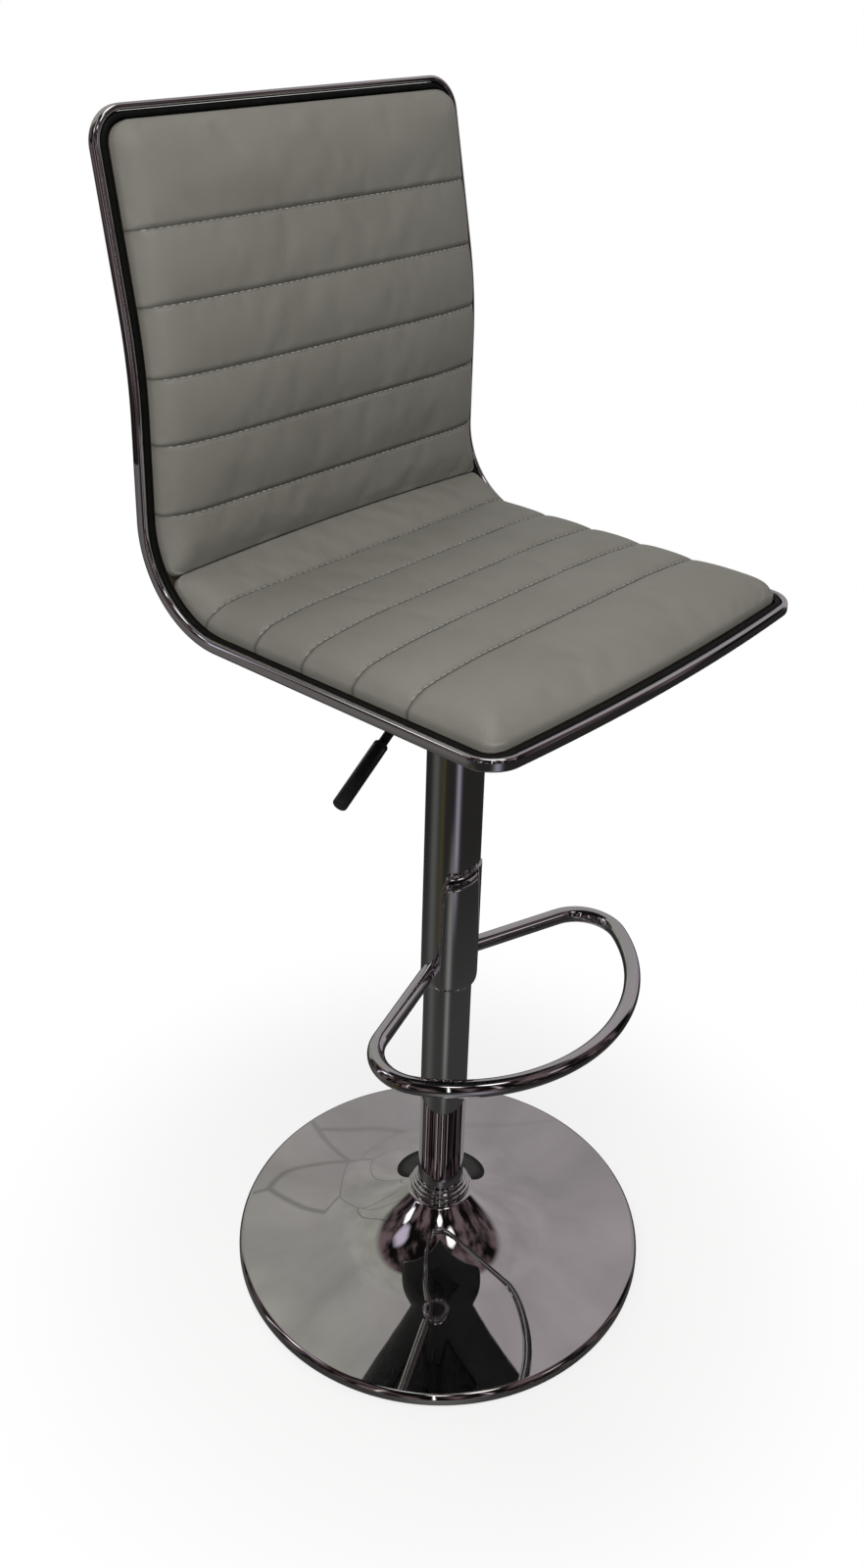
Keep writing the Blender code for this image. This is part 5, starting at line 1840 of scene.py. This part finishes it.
    @staticmethod
    def streak(
        desk: NodeDesk, colour: Socket, turn: Socket, along: Socket, beam: Beam, blur: Point2
    ) -> Socket:
        """Lays a beam over a card's colour.

        Args:
            desk: The card's nodes.
            colour: The colour so far.
            turn: Direction of the shaded point, in radians.
            along: Its place along the beam.
            beam: The beam.
            blur: Half the length over which the beam starts, and over which it ends.

        Returns:
            The colour with the beam.
        """
        start = desk.step(along, beam.near - blur[0], beam.near + blur[0])
        end = desk.math("SUBTRACT", 1.0, desk.step(along, beam.far - blur[1], beam.far + blur[1]))
        share = desk.math("MULTIPLY", Studio.sector(desk, turn, beam.direction, beam.half), start)
        return desk.blend(desk.math("MULTIPLY", share, end), colour, beam.colour)

    @staticmethod
    def light_card(card: Piece, desk: NodeDesk, colour: Socket) -> None:
        """Gives a card its glow, seen in shiny surfaces alone: the card's colours are painted reflections
        and painted highlights, and it lights no diffuse surface.

        Args:
            card: The card.
            desk: Its nodes.
            colour: Its colour.
        """
        glow = desk.feed(desk.add("Emission"), Color=colour, Strength=1.0)
        card.data.materials.append(desk.close(glow))
        desk.owner.cycles.emission_sampling = "NONE"
        # Hidden from the camera, from light and from shadows, the card only paints reflections.
        for kind in ("camera", "diffuse", "transmission", "volume_scatter", "shadow"):
            setattr(card, "visible_" + kind, False)

    def build_reflection_mat(self) -> None:
        """A dark mat with light streaks, seen only as a painted reflection in the column and the rim, which
        mirror it.
        """
        mat = self.disc("reflection_mat", self.dome_radius + 0.02, 0.0006)
        desk = NodeDesk(bpy.data.materials.new(mat.name))
        where = desk.place()
        axes = desk.feed(desk.add("SeparateXYZ"), Vector=where).outputs
        turn = desk.math("ARCTAN2", axes["Y"], axes["X"])
        away = desk.vector("LENGTH", where).outputs["Value"]
        colour = desk.blend(desk.step(away, 0.3, 0.8), *self.mat_reflection_colours)
        for beam in self.beams:
            colour = self.streak(desk, colour, turn, away, beam, (0.12, 0.15))
        self.light_card(mat, desk, colour)

    def wall(self, desk: NodeDesk, turn: Socket) -> Socket:
        """The pale rear wall painted on the dome as a painted reflection, cloudy all over and veined on its
        left.

        Args:
            desk: The dome's nodes.
            turn: Direction of the shaded point, in radians.

        Returns:
            The wall's colour.
        """
        clouds = desk.between(desk.noise(desk.place((1.0, 1.0, 0.35)), 2.2, 3.0), 0.0, 1.0)
        left = self.sector(desk, turn, self.far_side + 75.0, 60.0)
        deep, pale = (desk.blend(left, *pair) for pair in zip(self.wall_right, self.wall_left))
        veins = desk.math("MULTIPLY", self.veins(desk), left)
        return desk.blend(veins, desk.blend(clouds, deep, pale), self.vein)

    @staticmethod
    def veins(desk: NodeDesk) -> Socket:
        """Thin wandering lines, like cables and joints on a wall.

        Args:
            desk: The dome's nodes.

        Returns:
            1 on a line and 0 beside it.
        """
        where = desk.place()
        wander = desk.feed(desk.add("TexNoise"), Vector=where, Scale=0.9, Detail=0.5).outputs["Color"]
        sway = desk.vector("MULTIPLY_ADD", wander, (0.9, 0.9, 0.9), where).outputs[0]
        cells = desk.add("TexVoronoi", feature="DISTANCE_TO_EDGE")
        distance = desk.feed(cells, Vector=sway, Scale=0.62).outputs["Distance"]
        return desk.math("SUBTRACT", 1.0, desk.step(distance, 0.002, 0.010))

    def build_reflection_dome(self) -> None:
        """A painted reflection dome: a pale rear wall, a streaked brown camera side, a few bright spots and
        a bright cap, seen only in metal and gloss.
        """
        sphere = bpy.ops.mesh.primitive_uv_sphere_add
        dome = Bench.begin("reflection_dome", sphere, segments=64, ring_count=32, radius=self.dome_radius)
        desk = NodeDesk(bpy.data.materials.new(dome.name))
        where = desk.place()
        axes = desk.feed(desk.add("SeparateXYZ"), Vector=where).outputs
        turn = desk.math("ARCTAN2", axes["Y"], axes["X"])
        rise = desk.math("DIVIDE", axes["Z"], self.dome_radius)
        streaks = desk.step(desk.noise(desk.place((1.0, 1.0, 0.16)), 1.9, 3.0), 0.46, 0.66)
        edge = math.radians(self.wall_half)
        aside = desk.math("ABSOLUTE", self.off(desk, turn, self.far_side))
        camera_side = desk.step(aside, edge - 0.07, edge + 0.07)
        colour = desk.blend(camera_side, self.wall(desk, turn), desk.blend(streaks, *self.brown))
        # Painted highlights: bright upright stripes and spots on the dome.
        for strip in self.strips:
            colour = self.streak(desk, colour, turn, rise, strip, (0.05, 0.1))
        for glow in self.glows:
            facing = desk.vector("DOT_PRODUCT", where, glow.aim() / self.dome_radius).outputs["Value"]
            inner, outer = (math.cos(math.radians(glow.half * share)) for share in (0.6, 1.3))
            colour = desk.blend(desk.step(facing, outer, inner), colour, glow.colour)
        # Painted highlight: a bright cap at the top of the dome.
        colour = desk.blend(desk.step(rise, *self.painted_cap), colour, (1.5, 1.5, 1.5))
        self.light_card(dome, desk, colour)

    def build(self) -> None:
        """Builds the studio."""
        self.build_camera()
        self.build_world()
        self.build_floor()
        self.build_reflection_mat()
        self.build_reflection_dome()
        for lamp in self.lamps:
            lamp.build()
        bpy.context.scene.view_settings.view_transform = "Standard"


def dress_nodes(nodes: dict[str, Piece]) -> None:
    """Gives every CAD node its finish.

    Args:
        nodes: CAD nodes by name.
    """
    for finish, names in NODE_FINISHES.items():
        for name in names:
            Wardrobe.dress(nodes[name], finish)


def main() -> None:
    """Builds the stool's looks and its studio."""
    logging.basicConfig(level=logging.INFO, format="%(name)s %(message)s")
    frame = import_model()
    dress_nodes(frame["nodes"])
    Studio().build()
    Foot().build()
    Lift().build()
    Seat().build()
    Lever().build()


if __name__ == "__main__":
    main()
